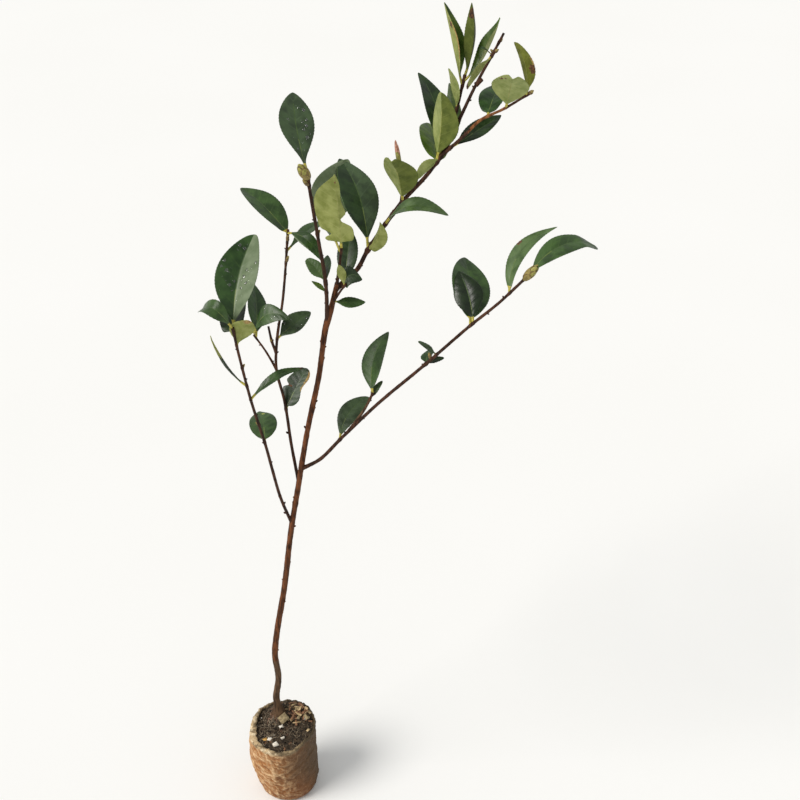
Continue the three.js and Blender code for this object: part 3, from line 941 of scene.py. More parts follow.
def scarSkins(path, start, end, radiusAt, size=1.0):
    skins = []
    turn = scarDeal.uniform(0, 2 * pi)
    place = start + scars["spacing"] * scarDeal.uniform(*scars["firstGap"])
    while place < end - scars["clearEnd"]:
        along = path.tangent(place)
        across = along.cross(back).normalized()
        outward = spoke(across, across.cross(along), turn)
        root = path.point(place) + outward * radiusAt(place) * scars["sunk"]
        lean = (outward + along * scars["lean"]).normalized()
        grown = size * scarDeal.uniform(*scars["sizes"])
        skins += budSkins(root, lean, scars["length"] * grown, scars["thickness"] * grown)
        turn += goldenTurn
        place += scars["spacing"] * scarDeal.uniform(*scars["gaps"])
    return skins


def stemFinish(place):
    return 1 if place < stem["barkChange"] else 0


def rootSkin(heading, radius):  # a short root that shows at the foot
    legs = [(length, heading + turn, rise) for length, turn, rise in stem["rootLegs"]]
    run = sum(length for length, _, _ in legs)
    path = LimbPath(stemPath.point(stem["rootPlace"]), legs)

    def radiusAt(place):
        return lerp(radius, stem["rootTip"], place / run)

    return limbSkin(path, 0, path.total, radiusAt, stem["rootColumns"], lambda place: 1,
                    rough=stem["rootRough"])


stemSkins = [limbSkin(stemPath, -stem["sunk"], stemPath.total, stemRadius, stem["columns"], stemFinish,
                      stem["spacing"])]
for place, heading, size in stem["knobs"]:
    reach = stemRadius(place) + size * 0.6
    stemSkins += budSkins(stemPath.point(place), bearing(heading, stem["knobRise"]), reach, size * 2)
stemSkins += [rootSkin(heading, radius) for heading, radius in stem["roots"]]
stemSkins += scarSkins(stemPath, stem["barkChange"], stemPath.total, stemRadius, stem["scarSize"])
buildPiece("main_stem_bark", stemSkins, [bark["stem"], bark["foot"]], "bark", "main_stem")
print("main stem done")

budLooks = {
    "scales": ((114, 100, 46), (156, 138, 74), 2.5, 0.5, 0.04),
    "tips": ((158, 100, 80), (200, 148, 122), 1.2, 0.5, 0.04),
    "green": ((118, 116, 48), (160, 154, 76), 1.4, 0.45, 0.04),
    "seams": ((84, 66, 34), (124, 100, 54), 1.2, 0.55, 0.04),
}
budFinishes = speckledSet("bud", budLooks)
budSlots = list(budLooks)
# Kinds of bud: how many scales, then the looks of the scales, their tips and their edges
budKinds = {
    "flower": (10, "scales", "green", "seams"),
    "long": (5, "green", "tips"),
    "small": (3, "seams", "scales"),
}
flowerThickness = 6
longLength = 10
twigForm = {"boughColumns": 20, "columns": 14, "overlap": 1, "boughScars": 3, "scarSize": 0.75}
foldRule = seededRule(leafForm["foldSeed"])
deal = random.Random(leafForm["seed"])
paths = {"main_stem": stemPath}
wetLeaves = []


def dressedBud(path, place, heading, rise, length, thickness):
    kind = "small"
    if thickness > flowerThickness:
        kind = "flower"
    elif length > longLength:
        kind = "long"
    scales, *looks = budKinds[kind]
    finishes = [budSlots.index(look) for look in looks]
    return budSkins(path.point(place), bearing(heading, rise), length, thickness, scales, *finishes)


def growShoot(shoot, path, start, made):  # adds a shoot's twig, leaves and buds, then its side twigs
    radiusAt = taper(shoot, path)
    low, high, finish = shoot.get("barkPatch", (0, 0, 0))
    made["twigs"].append(limbSkin(path, start, path.total, radiusAt, twigForm["columns"],
                                  lambda place: finish if low < place < high else 0))
    made["twigs"] += scarSkins(path, start, path.total, radiusAt, twigForm["scarSize"])
    for bud in shoot.get("buds", ()):
        made["buds"] += dressedBud(path, *bud)
    for leaf in shoot.get("leaves", ()):
        fold = leafForm["fold"] + leafForm["foldSpread"] * next(foldRule)
        skin, point = leafSkin(path.point(leaf["place"]), leaf, fold, deal)
        made["leaves"].append(skin)
        if "drops" in leaf:
            wetLeaves.append((leaf, point))
    for twig in shoot.get("twigs", ()):
        growShoot(twig, LimbPath(path.point(twig["place"]), twig["legs"]), 0, made)


for shoot in shoots:
    name = shoot["name"]
    path = LimbPath(paths[shoot.get("parent", "main_stem")].point(shoot["place"]), shoot["legs"])
    paths[name] = path
    if shoot["bare"]:
        radiusAt = taper(shoot, path)
        bough = [limbSkin(path, 0, shoot["bare"], radiusAt, twigForm["boughColumns"])]
        bough += scarSkins(path, twigForm["boughScars"], shoot["bare"], radiusAt)
        buildPiece(f"bough_{name}_bark", bough, [bark["twig"]], "bark", f"bough_{name}")
    made = {"twigs": [], "leaves": [], "buds": []}
    growShoot(shoot, path, max(0, shoot["bare"] - twigForm["overlap"]), made)
    mass = f"foliage_{name}"
    buildPiece(f"twigs_{name}", made["twigs"], [bark["twig"], bark["sunny"], bark["foot"]], "bark", mass)
    buildPiece(f"leaves_{name}", made["leaves"], leafFinishes.values(), "foliage", mass)
    if made["buds"]:
        buildPiece(f"buds_{name}", made["buds"], budFinishes, "foliage", mass)
    print("shoot", name, "has", len(made["leaves"]), "leaves")


# Water drops on the wet leaves
dropForm = {
    "smallest": 0.4,
    "largest": 1.5,
    "height": 0.36,
    "skirt": 0.2,  # the share of a drop's rows that is sunk
    "sunk": 0.05,
    "along": (0.25, 0.88),
    "aside": (0.12, 0.85),
    "columns": 12,
    "rows": 6,
    "seed": 12,
}


def dropSkin(centre, normal, radius):
    across = normal.orthogonal().normalized()
    other = normal.cross(across)
    tall = dropForm["height"] * min(radius, 1)  # large drops spread out
    skirt = dropForm["skirt"]

    def place(u, v):
        if v == 0:
            return centre - normal * 2 * dropForm["sunk"]
        arc = 0.5 * pi * (v - skirt) / (1 - skirt)
        reach = radius * cos(arc) if v < 1 else 0
        height = tall * sin(max(0, arc)) - dropForm["sunk"]
        return centre + spoke(across, other, turnOf(u)) * reach + normal * height

    return skinOf(dropForm["columns"], dropForm["rows"], place)


def outOf(point, side, t):  # straight out of a leaf's upper face
    centre = point(side, t, False)
    sideways = point(side + 0.02, t, False) - centre
    normal = sideways.cross(point(side, t + 0.01, False) - centre).normalized()
    return -normal if normal.dot(centre - point(side, t, True)) < 0 else normal


dropDeal = random.Random(dropForm["seed"])
drops = []
for leaf, point in wetLeaves:
    spots = list(leaf.get("beads", ()))  # the largest, where they lie
    for _ in range(leaf["drops"]):
        t = dropDeal.uniform(*dropForm["along"])
        side = dropDeal.choice((-1, 1)) * dropDeal.uniform(*dropForm["aside"])
        spots.append((side, t, lerp(dropForm["smallest"], dropForm["largest"], dropDeal.random() ** 3)))
    drops += [dropSkin(point(side, t, False), outOf(point, side, t), radius) for side, t, radius in spots]
water = finishOf("water", lambda wire: {"Roughness": wire.grain(0.4) * 0.04},
                 Base_Color=(1, 1, 1, 1), Transmission_Weight=1.0, IOR=1.33,
                 Specular_IOR_Level=1.0, Coat_Weight=1.0, Coat_IOR=1.8)
buildPiece("water_drops", drops, [water], "foliage")
print("drops:", len(drops))


# Root bag: crumpled cloth with a rolled hem
bag = {
    "footRadius": 26,
    "bellyRadius": 28.6,
    "rimRadius": 29.4,
    "height": 76,
    "wall": 1.2,
    "toe": 3,
    "swell": [(0.18, -0.6), (0.5, 0), (0.8, 0.3)],
    "lean": -3,
    "slope": (0.1, 0.2),
    "dentDepth": 0.4,
    "dents": [(3, 0.6), (5, 2.1)],
    "columns": 260,
    "spacing": 0.62,
    "innerSpacing": 4,
    "footBlend": 8,  # the relief grows from the foot over this height, and changes below the rim
    "rimBlend": 12,
    "lumps": 0.7,
    "crumple": 1.0,
    "crumpleSize": 5.5,
    "folds": [(1, 0.62), (2.3, 0.38)],  # how fine, and their share
    "calm": 0.3,
    "footFolds": (8, 40, 0.7),
    "pleats": (17, 0.35),  # under the foot
    "hemHeight": 3.8,
    "hemRoll": 0.4,
    "hemTop": 2,
    "hemSteps": 10,
    "hemLining": 3,
    "liningRows": 5,
    "hemWaves": [(188, 40, 4.2), (255, 45, 1.2)],  # heading, reach and extra thickness
    "bulge": (190, 48, 47, 28, 4.8),  # heading, reach, height, its reach and how far out
    "rimWaves": [(88, 48, -2.8), (156, 9, 1.4), (205, 18, -0.8)],  # heading, reach and rise
    "lipWaves": [(190, 35, 1.6)],  # heading, reach and how far it turns out
    "ragged": 1.5,
    "tatters": 0.7,
    "sunnyHeading": 205,
    "creases": 34,
    "creaseDepth": 0.75,
    "creaseFade": (0.6, 1.5),
    "seed": 5,
}


def settle(radius, turn, z):  # the wall's lean, dents and slanting rim
    height = z / bag["height"]
    dent = sum(sin(wave * turn + start) for wave, start in bag["dents"]) * bag["dentDepth"]
    radius *= 1 + dent / bag["rimRadius"] * min(1, 2 * height)
    x = cos(turn) * radius + bag["lean"] * height
    y = sin(turn) * radius
    return Vector((x, y, z + (bag["slope"][0] * x + bag["slope"][1] * y) * height ** 2))


def spaced(corners, spacing):  # points along straight runs between corners
    points = [corners[0]]
    for first, last in zip(corners, corners[1:]):
        steps = max(1, round(hypot(last[0] - first[0], last[1] - first[1]) / spacing))
        for step in range(1, steps + 1):
            points.append(tuple(lerp(a, b, step / steps) for a, b in zip(first, last)))
    return points


def wallProfile(inset):
    wall = [(bag["bellyRadius"] + out - inset, bag["height"] * share) for share, out in bag["swell"]]
    foot = [(bag["footRadius"] - bag["toe"] - inset, inset), (bag["footRadius"] - inset, bag["toe"])]
    return foot + wall


def wavesAt(waves, turn):  # humps round the bag
    total = 0
    for heading, reach, height in waves:
        away = (turn * 180 / pi - heading + 180) % 360 - 180
        total += height * hump(away, reach)
    return total


# A crease is dealt its turn, its height, its run round the bag, its fall, its depth and its width.
creaseSpans = [(0, 2 * pi), (8, 70), (0.1, 0.5), (-14, 4), (0.4, 1.0), (0.8, 2.2)]
bagDeal = random.Random(bag["seed"])
creases = [[bagDeal.uniform(*span) for span in creaseSpans] for _ in range(bag["creases"])]


def creaseAt(turn, z):
    deep = 0
    for start, startZ, run, fall, depth, width in creases:
        away = (turn - start + pi) % (2 * pi) - pi
        along = away / run
        if abs(along) < bag["creaseFade"][1]:
            fading = 1 - eased(*bag["creaseFade"], abs(along))
            deep += depth * hump(z - startZ - fall * along, width) * fading
    return deep * bag["creaseDepth"]


def crumpleAt(turn, z):  # small sharp folds: near 1 on a crest, below 0 in a hollow
    around = aroundAt(turn) * bag["bellyRadius"]
    slant = bag["bellyRadius"] * sin(turn - radians(bag["sunnyHeading"]))
    spot = (0.6 * around + up * (z + 0.8 * slant)) / bag["crumpleSize"]
    return sum(share * (1 - 3 * abs(noise.noise(spot * fineness))) for fineness, share in bag["folds"])


def wrinkled(turn, z):  # the cloth is most crumpled on its sunny side and near its foot
    side = eased(-0.2, 0.8, cos(turn - radians(bag["sunnyHeading"])))
    low, high, share = bag["footFolds"]
    return max(lerp(bag["calm"], 1, side), share * (1 - eased(low, high, z)))


# The wall's points are (radius, height, share of the hem's thickness), up the outside and down the inside.
hemFoot = bag["height"] - bag["hemHeight"]
hemMiddle = bag["rimRadius"] - bag["wall"] / 2
hemRadius = bag["wall"] / 2 + bag["hemRoll"]
hem = []
for step in range(bag["hemSteps"] + 1):
    arc = pi * step / bag["hemSteps"]
    rise = bag["height"] - bag["hemTop"] + bag["hemTop"] * sin(arc)
    hem.append((hemMiddle + hemRadius * cos(arc), rise, (1 - cos(arc)) / 2))
outerWall = [(0, 0, 0)] + [(*spot, 0) for spot in wallProfile(0)] + [(bag["rimRadius"], hemFoot, 0)]
innerWall = [(bag["rimRadius"] - bag["wall"], hemFoot - bag["hemLining"], 0)]
innerWall += [(*spot, 0) for spot in wallProfile(bag["wall"])[::-1]] + [(0, bag["wall"], 0)]
outerPoints = spaced(outerWall, bag["spacing"])
hemPoints = spaced([outerWall[-1]] + hem + [innerWall[0]], bag["spacing"])[1:]
bagPoints = outerPoints + hemPoints + spaced(innerWall, bag["innerSpacing"])[1:]
bagRows = len(bagPoints) - 1
hemRows = (len(outerPoints), len(outerPoints) + len(hemPoints) - bag["liningRows"])


def bagPlace(u, v):
    row = round(v * bagRows)
    radius, z, hemShare = bagPoints[row]
    turn = turnOf(u)
    around = aroundAt(turn)
    onWall = eased(0, bag["footBlend"], z)
    atRim = eased(bag["height"] - bag["rimBlend"], bag["height"], z)
    lumps = noise.fractal(around * 4 + up * z * 0.11, 0.8, 2.1, 4) * bag["lumps"]
    if row < hemRows[1]:
        crumple = bag["crumple"] * crumpleAt(turn, z) * wrinkled(turn, z) * (1 - 0.6 * atRim)
        radius += (lumps + crumple - creaseAt(turn, z)) * onWall
        heading, reach, middle, tall, out = bag["bulge"]
        radius += wavesAt([(heading, reach, out)], turn) * hump(z - middle, tall) * (1 - atRim)
    if row < len(outerPoints) and z < 0.01 < radius:
        pleats, deep = bag["pleats"]
        z = deep * eased(4, 14, radius) * max(0, sin(turn * pleats + 2 * noise.noise(around * 3)))
    radius += wavesAt(bag["lipWaves"], turn) * atRim - wavesAt(bag["hemWaves"], turn) * hemShare
    ragged = noise.fractal(around * 5, 0.7, 2.2, 4) * bag["ragged"] + wavesAt(bag["rimWaves"], turn)
    if hemRows[0] <= row < hemRows[1]:
        radius += bag["tatters"] * noise.fractal(around * 11 + up * z * 0.4, 0.7, 2.2, 3)
    return settle(max(0, radius), turn, z) + up * ragged * atRim


# The cloth's map holds how high a fold stands, and 1 on the hem.
def bagMark(u, v):
    row = v * bagRows
    turn = 2 * pi * u
    z = bagPoints[round(row)][1]
    hemShare = eased(-3, 3, row - hemRows[0] + 5 * noise.noise(aroundAt(turn) * 5))
    return 0.5 + 0.5 * crumpleAt(turn, z) * wrinkled(turn, z) - 0.4 * creaseAt(turn, z), hemShare


def bagPick(u, v):
    return 1 if v * bagRows > hemRows[1] else 0


# Colours of the cloth with light and shade painted in: tan, brown and olive are the cloth lit, half lit and
# shaded; crest and brightHem are painted highlights; hollow and darkHem are painted shade; paleHem and
# greyHem are the hem lit and half lit.
bagTints = {
    "tan": (176, 120, 70),
    "brown": (112, 76, 42),
    "olive": (90, 67, 40),
    "rust": (142, 86, 40),
    "crest": (238, 204, 158),
    "hollow": (80, 50, 27),
    "thread": (150, 130, 110),
    "paleHem": (204, 178, 138),
    "greyHem": (154, 134, 102),
    "darkHem": (82, 69, 48),
    "brightHem": (238, 220, 186),
}


def bagCloth(wire):
    dye = {name: paint(*colour) for name, colour in bagTints.items()}
    fold, hem = wire.across()
    x, y, z = wire.spot()
    # noise that breaks the painted light and shade into blotches and makes the rust line ragged
    stainsAndShade = wire.grain(14, 4.0) - 0.5
    # worn scuffs, which give relief everywhere and are painted pale as glints on the lit side
    scuffsAndGlints = wire.grain(3, 4.0, (1, 1, 0.6)).step(0.5, 0.72)
    weave = wire.grain(0.8, 3.0, (1, 1, 0.25)) * 0.5 + wire.grain(0.8, 3.0, (0.3, 0.3, 1.2)) * 0.5
    sunny = bearing(bag["sunnyHeading"], 0) / (bag["bellyRadius"] * mm)
    # how far a spot faces the sun, made blotchy by the noise
    facing = x * sunny.x + y * sunny.y + stainsAndShade * 1.2
    # painted shade and light: olive on the side away from the sun, brown between, tan on the sunny side
    colour = facing.step(-0.7, 0.35).mix(dye["olive"], dye["brown"])
    colour = facing.step(0.2, 1.1).mix(colour, dye["tan"])
    low = 1 - (z * (1 / mm) + stainsAndShade * 30).step(10, 42)
    colour = (low * facing.step(-0.8, 0.0) * 0.6).mix(colour, dye["rust"])
    lit = facing.step(-0.6, 0.7)
    # painted highlights: pale crests of the folds and pale scuffs on the side towards the sun
    colour = (fold.step(0.48, 0.85) * lit * 0.3).mix(colour, dye["crest"])
    colour = (fold.step(0.72, 0.96) * lit * 0.85).mix(colour, dye["crest"])
    colour = (scuffsAndGlints * lit * 0.35).mix(colour, dye["crest"])
    # painted shade: darker in the hollows of the folds and along the creases
    colour = ((1 - fold.step(0.1, 0.4)) * 0.75).mix(colour, dye["hollow"])
    # painted shade and light on the hem: dark away from the sun, grey between, pale on the sunny side, with
    # dark blotches of painted shade and bright patches of painted highlight on the lit side
    rim = facing.step(-0.5, 0.3).mix(dye["darkHem"], dye["greyHem"])
    rim = (facing.step(0.6, 0.95) * 0.9).mix(rim, dye["paleHem"])
    rim = (wire.grain(6, 3.0).step(0.5, 0.58) * 0.65).mix(rim, dye["darkHem"])
    glow = facing.step(0.4, 0.9)
    rim = (wire.grain(5, 3.0).step(0.52, 0.6) * glow * 0.85).mix(rim, dye["brightHem"])
    colour = hem.mix(colour, rim)
    colour = (weave.step(0.38, 0.6) * 0.4).mix(colour, dye["thread"], "MULTIPLY")
    return {
        "Base Color": colour,
        "Roughness": 0.5 + weave * 0.3,
        "Normal": wire.relief(weave + scuffsAndGlints * 0.3, 0.4),
    }


bagFinishes = [
    finishOf("bag_cloth", bagCloth, Specular_IOR_Level=0.3),
    speckledFinish("bag_inside", (92, 78, 58), (136, 116, 90), 3, 0.7, 0.2),
]
buildPiece("root_bag_cloth", [skinOf(bag["columns"], bagRows, bagPlace, bagPick, bagMark)], bagFinishes,
           "bag_fabric", "root_bag")
print("root bag done")


# Soil in the bag
soil = {
    "belowRim": 4,
    "fromWall": 0.6,
    "moundRadius": 17,
    "flatRadius": 9,
    "gap": 1.6,
    "heaps": [(13, 15, 12, 4.2), (-2, 23, 10, 2), (-19, -4, 9, -3.5), (18, -4, 9, 1.5)],  # x, y, reach, rise
    "columns": 150,
    "spacing": 0.7,
    "sideSpacing": 6,
    "seed": 77,
}
soilTints = {
    "dark": ((38, 32, 26), (84, 71, 56), (122, 104, 82)),
    "light": ((66, 54, 42), (104, 86, 66), (138, 116, 88)),
}
soilLevel = bag["height"] - soil["belowRim"]
soilEdge = bag["rimRadius"] - bag["wall"] - soil["fromWall"]
soilCentre = bag["lean"] * soilLevel / bag["height"]


def groundAt(x, y):  # the soil's height, rising to the stem
    share = (soilLevel / bag["height"]) ** 2
    level = soilLevel + (bag["slope"][0] * x + bag["slope"][1] * y) * share
    spot = Vector((x, y, 0))
    level += noise.fractal(spot * 0.16, 0.7, 2.1, 5) * 1.1
    away = hypot(x - stem["foot"][0], y - stem["foot"][1])
    mound = 1 - eased(soil["flatRadius"] * 0.5, soil["moundRadius"], away)
    level = lerp(level, stem["foot"][2] - 0.4 + noise.fractal(spot * 0.3, 0.7, 2.1, 4) * 0.7, mound)
    return level + sum(rise * hump(hypot(x - hx, y - hy), reach) for hx, hy, reach, rise in soil["heaps"])


def onGround(x, y, lift):
    return Vector((x, y, groundAt(x, y) + lift))


soilTop = spaced([(0, soilLevel), (soilEdge, soilLevel)], soil["spacing"])
soilSide = [(soilEdge, soilLevel)] + wallProfile(soil["gap"])[::-1] + [(0, soil["gap"])]
soilPoints = soilTop + spaced(soilSide, soil["sideSpacing"])[1:]
soilRows = len(soilPoints) - 1


def soilPlace(u, v):
    row = round(v * soilRows)
    radius, z = soilPoints[row]
    point = settle(radius, turnOf(u), z)
    if row < len(soilTop):
        point.z = groundAt(point.x, point.y)
    return point


def soilFinish(name, dark, light, fleck):
    def recipe(wire):
        clods = wire.grain(2.6, 5.0).step(0.36, 0.64)
        bits = wire.grain(0.9, 3.0)
        colour = clods.mix(paint(*dark), paint(*light))
        colour = bits.step(0.62, 0.72).mix(colour, paint(*fleck))
        return {
            "Base Color": colour,
            "Roughness": 0.8 + bits * 0.2,
            "Normal": wire.relief(clods + bits, 0.8),
        }
    return finishOf(name, recipe, Specular_IOR_Level=0.25)


soilFinishes = [soilFinish(f"soil_{kind}", *colours) for kind, colours in soilTints.items()]
buildPiece("soil_top", [skinOf(soil["columns"], soilRows, soilPlace)], soilFinishes, "soil", "soil_plug")

soilDeal = random.Random(soil["seed"])


def onSoil(reach=0.95):  # a dealt spot on the soil
    turn = soilDeal.uniform(0, 2 * pi)
    radius = soilEdge * reach * sqrt(soilDeal.random())
    return soilCentre + cos(turn) * radius, sin(turn) * radius


def crumbSkin(centre, size, flat, finish, columns, rows):  # a small rough lump
    axis = Vector((soilDeal.uniform(-1, 1), soilDeal.uniform(-1, 1), 0.3))
    tilt = Quaternion(axis, soilDeal.uniform(0, 1.2))
    shift = Vector((soilDeal.uniform(0, 50), 0, 0))
    stretch = Vector((size, size * soilDeal.uniform(0.6, 0.95), size * flat))

    def place(u, v):
        turn = turnOf(u)
        ball = Vector((sin(pi * v) * cos(turn), sin(pi * v) * sin(turn), cos(pi * v)))
        if v in (0, 1):
            ball = Vector((0, 0, 1 - 2 * v))
        ball *= 1 + 0.45 * noise.noise(ball * 1.6 + shift)
        return centre + tilt @ (ball * stretch)

    return skinOf(columns, rows, place, lambda u, v: finish)


# Crumbs of soil and white grit
crumbForm = {
    "count": 520,
    "sizes": (0.4, 1.7),
    "smallness": 3,  # how much the small ones outnumber the large
    "lift": 0.3,
    "flat": 0.8,
    "finishes": (0, 0, 0, 1),
    "mesh": (6, 4),
}
gritForm = {"count": 12, "sizes": (0.3, 0.9), "smallness": 2, "lift": 0.4, "flat": 0.7, "mesh": (7, 5)}
gritFinish = speckledFinish("grit", (196, 190, 176), (240, 236, 226), 0.8, 0.7, 0.15)


def scattered(form):  # lumps dealt over the soil
    lumps = []
    for _ in range(form["count"]):
        x, y = onSoil()
        size = lerp(*form["sizes"], soilDeal.random() ** form["smallness"])
        finish = soilDeal.choice(form["finishes"]) if "finishes" in form else 0
        centre = onGround(x, y, size * form["lift"])
        lumps.append(crumbSkin(centre, size, form["flat"], finish, *form["mesh"]))
    return lumps


crumbs = scattered(crumbForm)
buildPiece("soil_crumbs", crumbs, soilFinishes, "soil", "soil_plug")
buildPiece("soil_grit", scattered(gritForm), [gritFinish], "soil", "soil_plug")

# Fine roots that lie on the soil
fibreLooks = {
    "grey": ((104, 92, 76), (150, 134, 112)),
    "dark": ((52, 42, 32), (90, 74, 56)),
    "red": ((116, 82, 64), (162, 126, 104)),
}
fibreFinishes = speckledSet("fibre", fibreLooks, 2, 0.7, 0.05)
fibreForm = {
    "count": 210,
    "reach": 0.88,
    "lengths": (4, 12),
    "radii": (0.16, 0.32),
    "bends": (-0.4, 0.4),
    "finishes": (0, 0, 1, 1),
    "lift": 1.1,
    "taper": 0.6,
    "step": 1.2,
    "columns": 5,
}
# Tufts of them: grey loops in the hollow at the left, and red ones at the stem's foot
tuftBends = (-0.3, 0.3)
tufts = [
    {"count": 40, "centre": (-17, 0), "x": (-6, 7), "y": (-8, 9), "lengths": (6, 14), "radius": 0.32,
     "finish": 0, "loops": True},
    {"count": 34, "centre": stem["foot"], "x": (-9, 1), "y": (-7, 3), "lengths": (4, 9), "radius": 0.38,
     "finish": 2, "loops": False},
]


def fibreSkin(x, y, length, radius, bend, finish):
    heading = soilDeal.uniform(0, 2 * pi)
    steps = max(6, round(length / fibreForm["step"]))
    spots = []
    for step in range(steps + 1):
        lift = radius + fibreForm["lift"] * sin(pi * step / steps) * soilDeal.uniform(0.4, 1)
        if hypot(x - soilCentre, y) > soilEdge - 1:
            heading += pi / 3
        spots.append(onGround(x, y, lift))
        x += cos(heading) * length / steps
        y += sin(heading) * length / steps
        heading += bend * (length / steps) + soilDeal.uniform(-0.2, 0.2)

    def place(u, v):
        step = round(v * steps)
        along = (spots[min(steps, step + 1)] - spots[max(0, step - 1)]).normalized()
        across = along.cross(up).normalized()
        thin = radius * (1 - fibreForm["taper"] * step / steps) if 0 < step < steps else 0
        return spots[step] + spoke(across, across.cross(along), turnOf(u)) * thin

    return skinOf(fibreForm["columns"], steps, place, lambda u, v: finish)


fibres = []
for _ in range(fibreForm["count"]):
    x, y = onSoil(fibreForm["reach"])
    length, radius, bend = [soilDeal.uniform(*fibreForm[part]) for part in ("lengths", "radii", "bends")]
    fibres.append(fibreSkin(x, y, length, radius, bend, soilDeal.choice(fibreForm["finishes"])))
for tuft in tufts:
    for _ in range(tuft["count"]):
        x = tuft["centre"][0] + soilDeal.uniform(*tuft["x"])
        y = tuft["centre"][1] + soilDeal.uniform(*tuft["y"])
        length = soilDeal.uniform(*tuft["lengths"])
        bend = soilDeal.choice(tuftBends) if tuft["loops"] else soilDeal.uniform(*tuftBends)
        fibres.append(fibreSkin(x, y, length, tuft["radius"], bend, tuft["finish"]))
buildPiece("soil_fibres", fibres, fibreFinishes, "soil", "soil_plug")

# Flat chips of bark
chipLooks = {
    "russet": ((98, 68, 48), (154, 112, 80), 1.4),
    "tan": ((118, 102, 74), (166, 148, 112), 1.6),
    "straw": ((164, 136, 92), (212, 188, 146), 1.6),
    "dark": ((52, 38, 28), (92, 66, 46), 1.4),
    "orange": ((176, 126, 56), (218, 174, 98), 1.6),
    "white": ((214, 204, 186), (246, 240, 228), 1.2),
}
chipFinishes = speckledSet("chip", chipLooks, 0.7, 0.2)
chipSlots = list(chipLooks)
chipForm = {
    "count": 96,
    "reach": 0.85,
    "clearEdge": 1,
    "shares": (0.35, 1),  # of the longest
    "widths": (1.2, 3.2),
    "thick": 0.5,
    "tilts": (-0.8, 0.8),
    "ragged": 0.18,
    "mesh": (16, 5),
}
strewn = {"every": 4, "longest": 4, "lift": 0.5, "kinds": ("russet", "dark", "dark", "dark")}
litter = {  # heaped at the back on the right
    "centre": (13, 15),
    "reach": 6.5,
    "longest": 8,
    "lifts": (0.6, 3),
    "kinds": ("russet", "russet", "tan", "straw", "straw", "dark"),
}
leaning = Quaternion((1, 0, 0), 0.55)
# One large chip leans at the stem. Two lie flat: x, y, length, width, kind and turn.
largeChip = {"centre": (-2.6, 4.2, 80), "size": (8.6, 7.6, 1.2), "kind": "tan", "turn": 40}
flatChips = [(-19, -10.2, 4.6, 3.2, "orange", 0.5), (20.7, -6.2, 3.4, 2.4, "straw", 0.9)]
flatThick = 0.8
# White flakes: where each lies, its length and how it is turned
flakes = [(-4.7, -0.2, 3.6, 0.4), (-9.3, -17.5, 5, 0.5), (-15, -10.4, 5, 1.1), (-2.6, -12, 2.6, 0.2),
          (17.4, 5.4, 2.4, 0.9)]
flakeShares = (1.1, 0.8, 0.3)
flakeRagged = 0.7


def chipSkin(centre, length, width, thick, kind, tilt, ragged=chipForm["ragged"]):
    shift = soilDeal.uniform(0, 50)
    finish = chipSlots.index(kind)

    def place(u, v):
        turn = turnOf(u) + pi / 4
        square = max(abs(cos(turn)), abs(sin(turn)))
        edge = 0 if v in (0, 1) else 1 - 0.12 * (2 * v - 1) ** 4
        flake = Vector((cos(turn) / square * length / 2, sin(turn) / square * width / 2, 0)) * edge
        flake *= 1 + ragged * noise.noise(flake * 0.5 + up * shift)
        flake.z = (v - 0.5) * thick + 0.05 * length * noise.noise(flake * 0.35 + up * shift)
        return centre + tilt @ flake

    return skinOf(*chipForm["mesh"], place, lambda u, v: finish)


turned = leaning @ Quaternion(up, radians(largeChip["turn"]))
chips = [chipSkin(Vector(largeChip["centre"]), *largeChip["size"], largeChip["kind"], turned)]
for x, y, length, width, kind, turn in flatChips:
    chips.append(chipSkin(onGround(x, y, 1), length, width, flatThick, kind, Quaternion(up, turn)))
for x, y, length, turn in flakes:
    size = [share * length for share in flakeShares]
    chips.append(chipSkin(onGround(x, y, 1), *size, "white", leaning @ Quaternion(up, turn), flakeRagged))
for index in range(chipForm["count"]):
    if index % strewn["every"]:
        heap = litter
        x, y = [soilDeal.gauss(middle, litter["reach"]) for middle in litter["centre"]]
        lift = soilDeal.uniform(*litter["lifts"])
    else:
        heap = strewn
        x, y = onSoil(chipForm["reach"])
        lift = strewn["lift"]
    if hypot(x - soilCentre, y) > soilEdge - chipForm["clearEdge"]:
        continue
    turned = Quaternion(up, soilDeal.uniform(0, 6))
    turned = turned @ Quaternion((1, 0, 0), soilDeal.uniform(*chipForm["tilts"]))
    length = soilDeal.uniform(*chipForm["shares"]) * heap["longest"]
    width = soilDeal.uniform(*chipForm["widths"])
    kind = soilDeal.choice(heap["kinds"])
    chips.append(chipSkin(onGround(x, y, lift), length, width, chipForm["thick"], kind, turned))
buildPiece("soil_chips", chips, chipFinishes, "soil", "soil_plug")
print("soil done, with", len(crumbs), "crumbs and", len(fibres), "fibres")


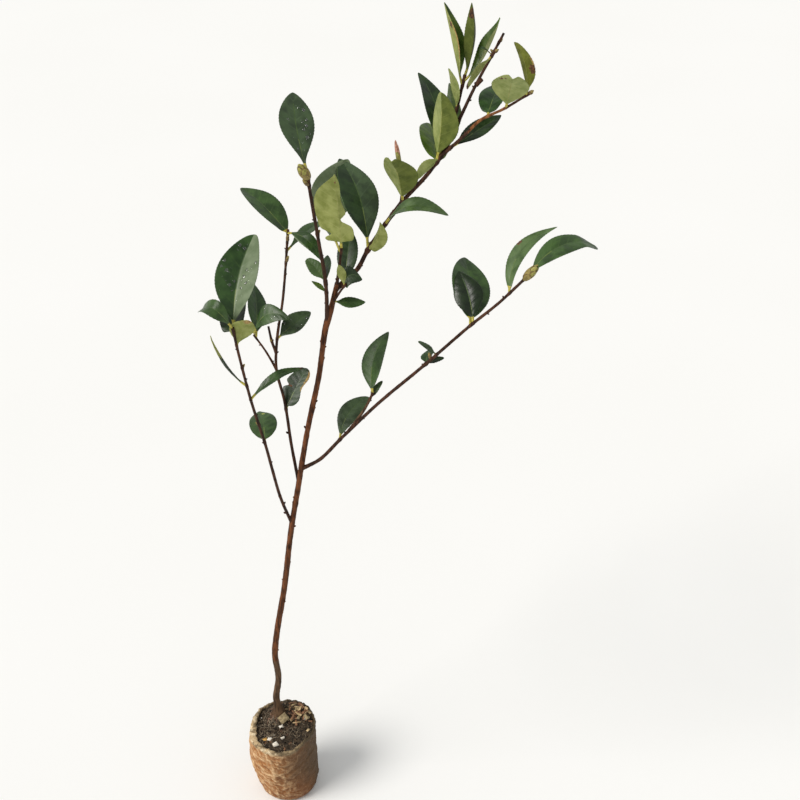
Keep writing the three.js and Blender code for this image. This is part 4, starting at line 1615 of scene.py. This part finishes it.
# Floor, light and camera
studio = {
    "target": (106, 0, 436),
    "distance": 1013,
    "elevation": 33,
    "lens": 58.5,
    "sensor": 36,
    "floorSide": 6000,
    "floorTints": ((243, 243, 242), (246, 246, 246)),
    "skyColour": (0.99, 1.0, 0.99, 1),
    "skyStrength": 0.55,
    "sunColour": (1.0, 0.97, 0.92),
    "sunStrength": 2.3,
    "sunWidth": 30,
    "sunTravel": (0.62, 0.3, -0.72),
}


def floorPaint(wire):
    return {"Base Color": wire.grain(400, 1.0).mix(*[paint(*tint) for tint in studio["floorTints"]])}


bm = bmesh.new()
bmesh.ops.create_grid(bm, x_segments=1, y_segments=1, size=studio["floorSide"] * mm)
floorMesh = bpy.data.meshes.new("floor")
bm.to_mesh(floorMesh)
bm.free()
floorMesh.materials.append(finishOf("floor_paint", floorPaint, Roughness=0.9, Specular_IOR_Level=0.1))
floor = bpy.data.objects.new("floor", floorMesh)
bpy.context.scene.collection.objects.link(floor)

world = bpy.data.worlds.new("studio")
bpy.context.scene.world = world
world.use_nodes = True
sky = world.node_tree.nodes["Background"]
sky.inputs["Color"].default_value = studio["skyColour"]
sky.inputs["Strength"].default_value = studio["skyStrength"]

sun = bpy.data.lights.new("soft_sun", "SUN")  # a wide lamp at the left, as even as an overcast sky
sun.energy = studio["sunStrength"]
sun.angle = radians(studio["sunWidth"])
sun.color = studio["sunColour"]
sunHolder = bpy.data.objects.new("soft_sun", sun)
sunHolder.rotation_euler = Vector(studio["sunTravel"]).to_track_quat("-Z", "Y").to_euler()
bpy.context.scene.collection.objects.link(sunHolder)

target = Vector(studio["target"]) * mm
tilt = radians(studio["elevation"])
sight = Vector((0, cos(tilt), -sin(tilt)))
cameraData = bpy.data.cameras.new("camera")
cameraData.lens = studio["lens"]
cameraData.sensor_width = studio["sensor"]
camera = bpy.data.objects.new("camera", cameraData)
camera.location = target - sight * studio["distance"] * mm
camera.rotation_euler = (pi / 2 - tilt, 0, 0)
bpy.context.scene.collection.objects.link(camera)
bpy.context.scene.camera = camera
bpy.context.scene.view_settings.view_transform = "Standard"
print("studio done")
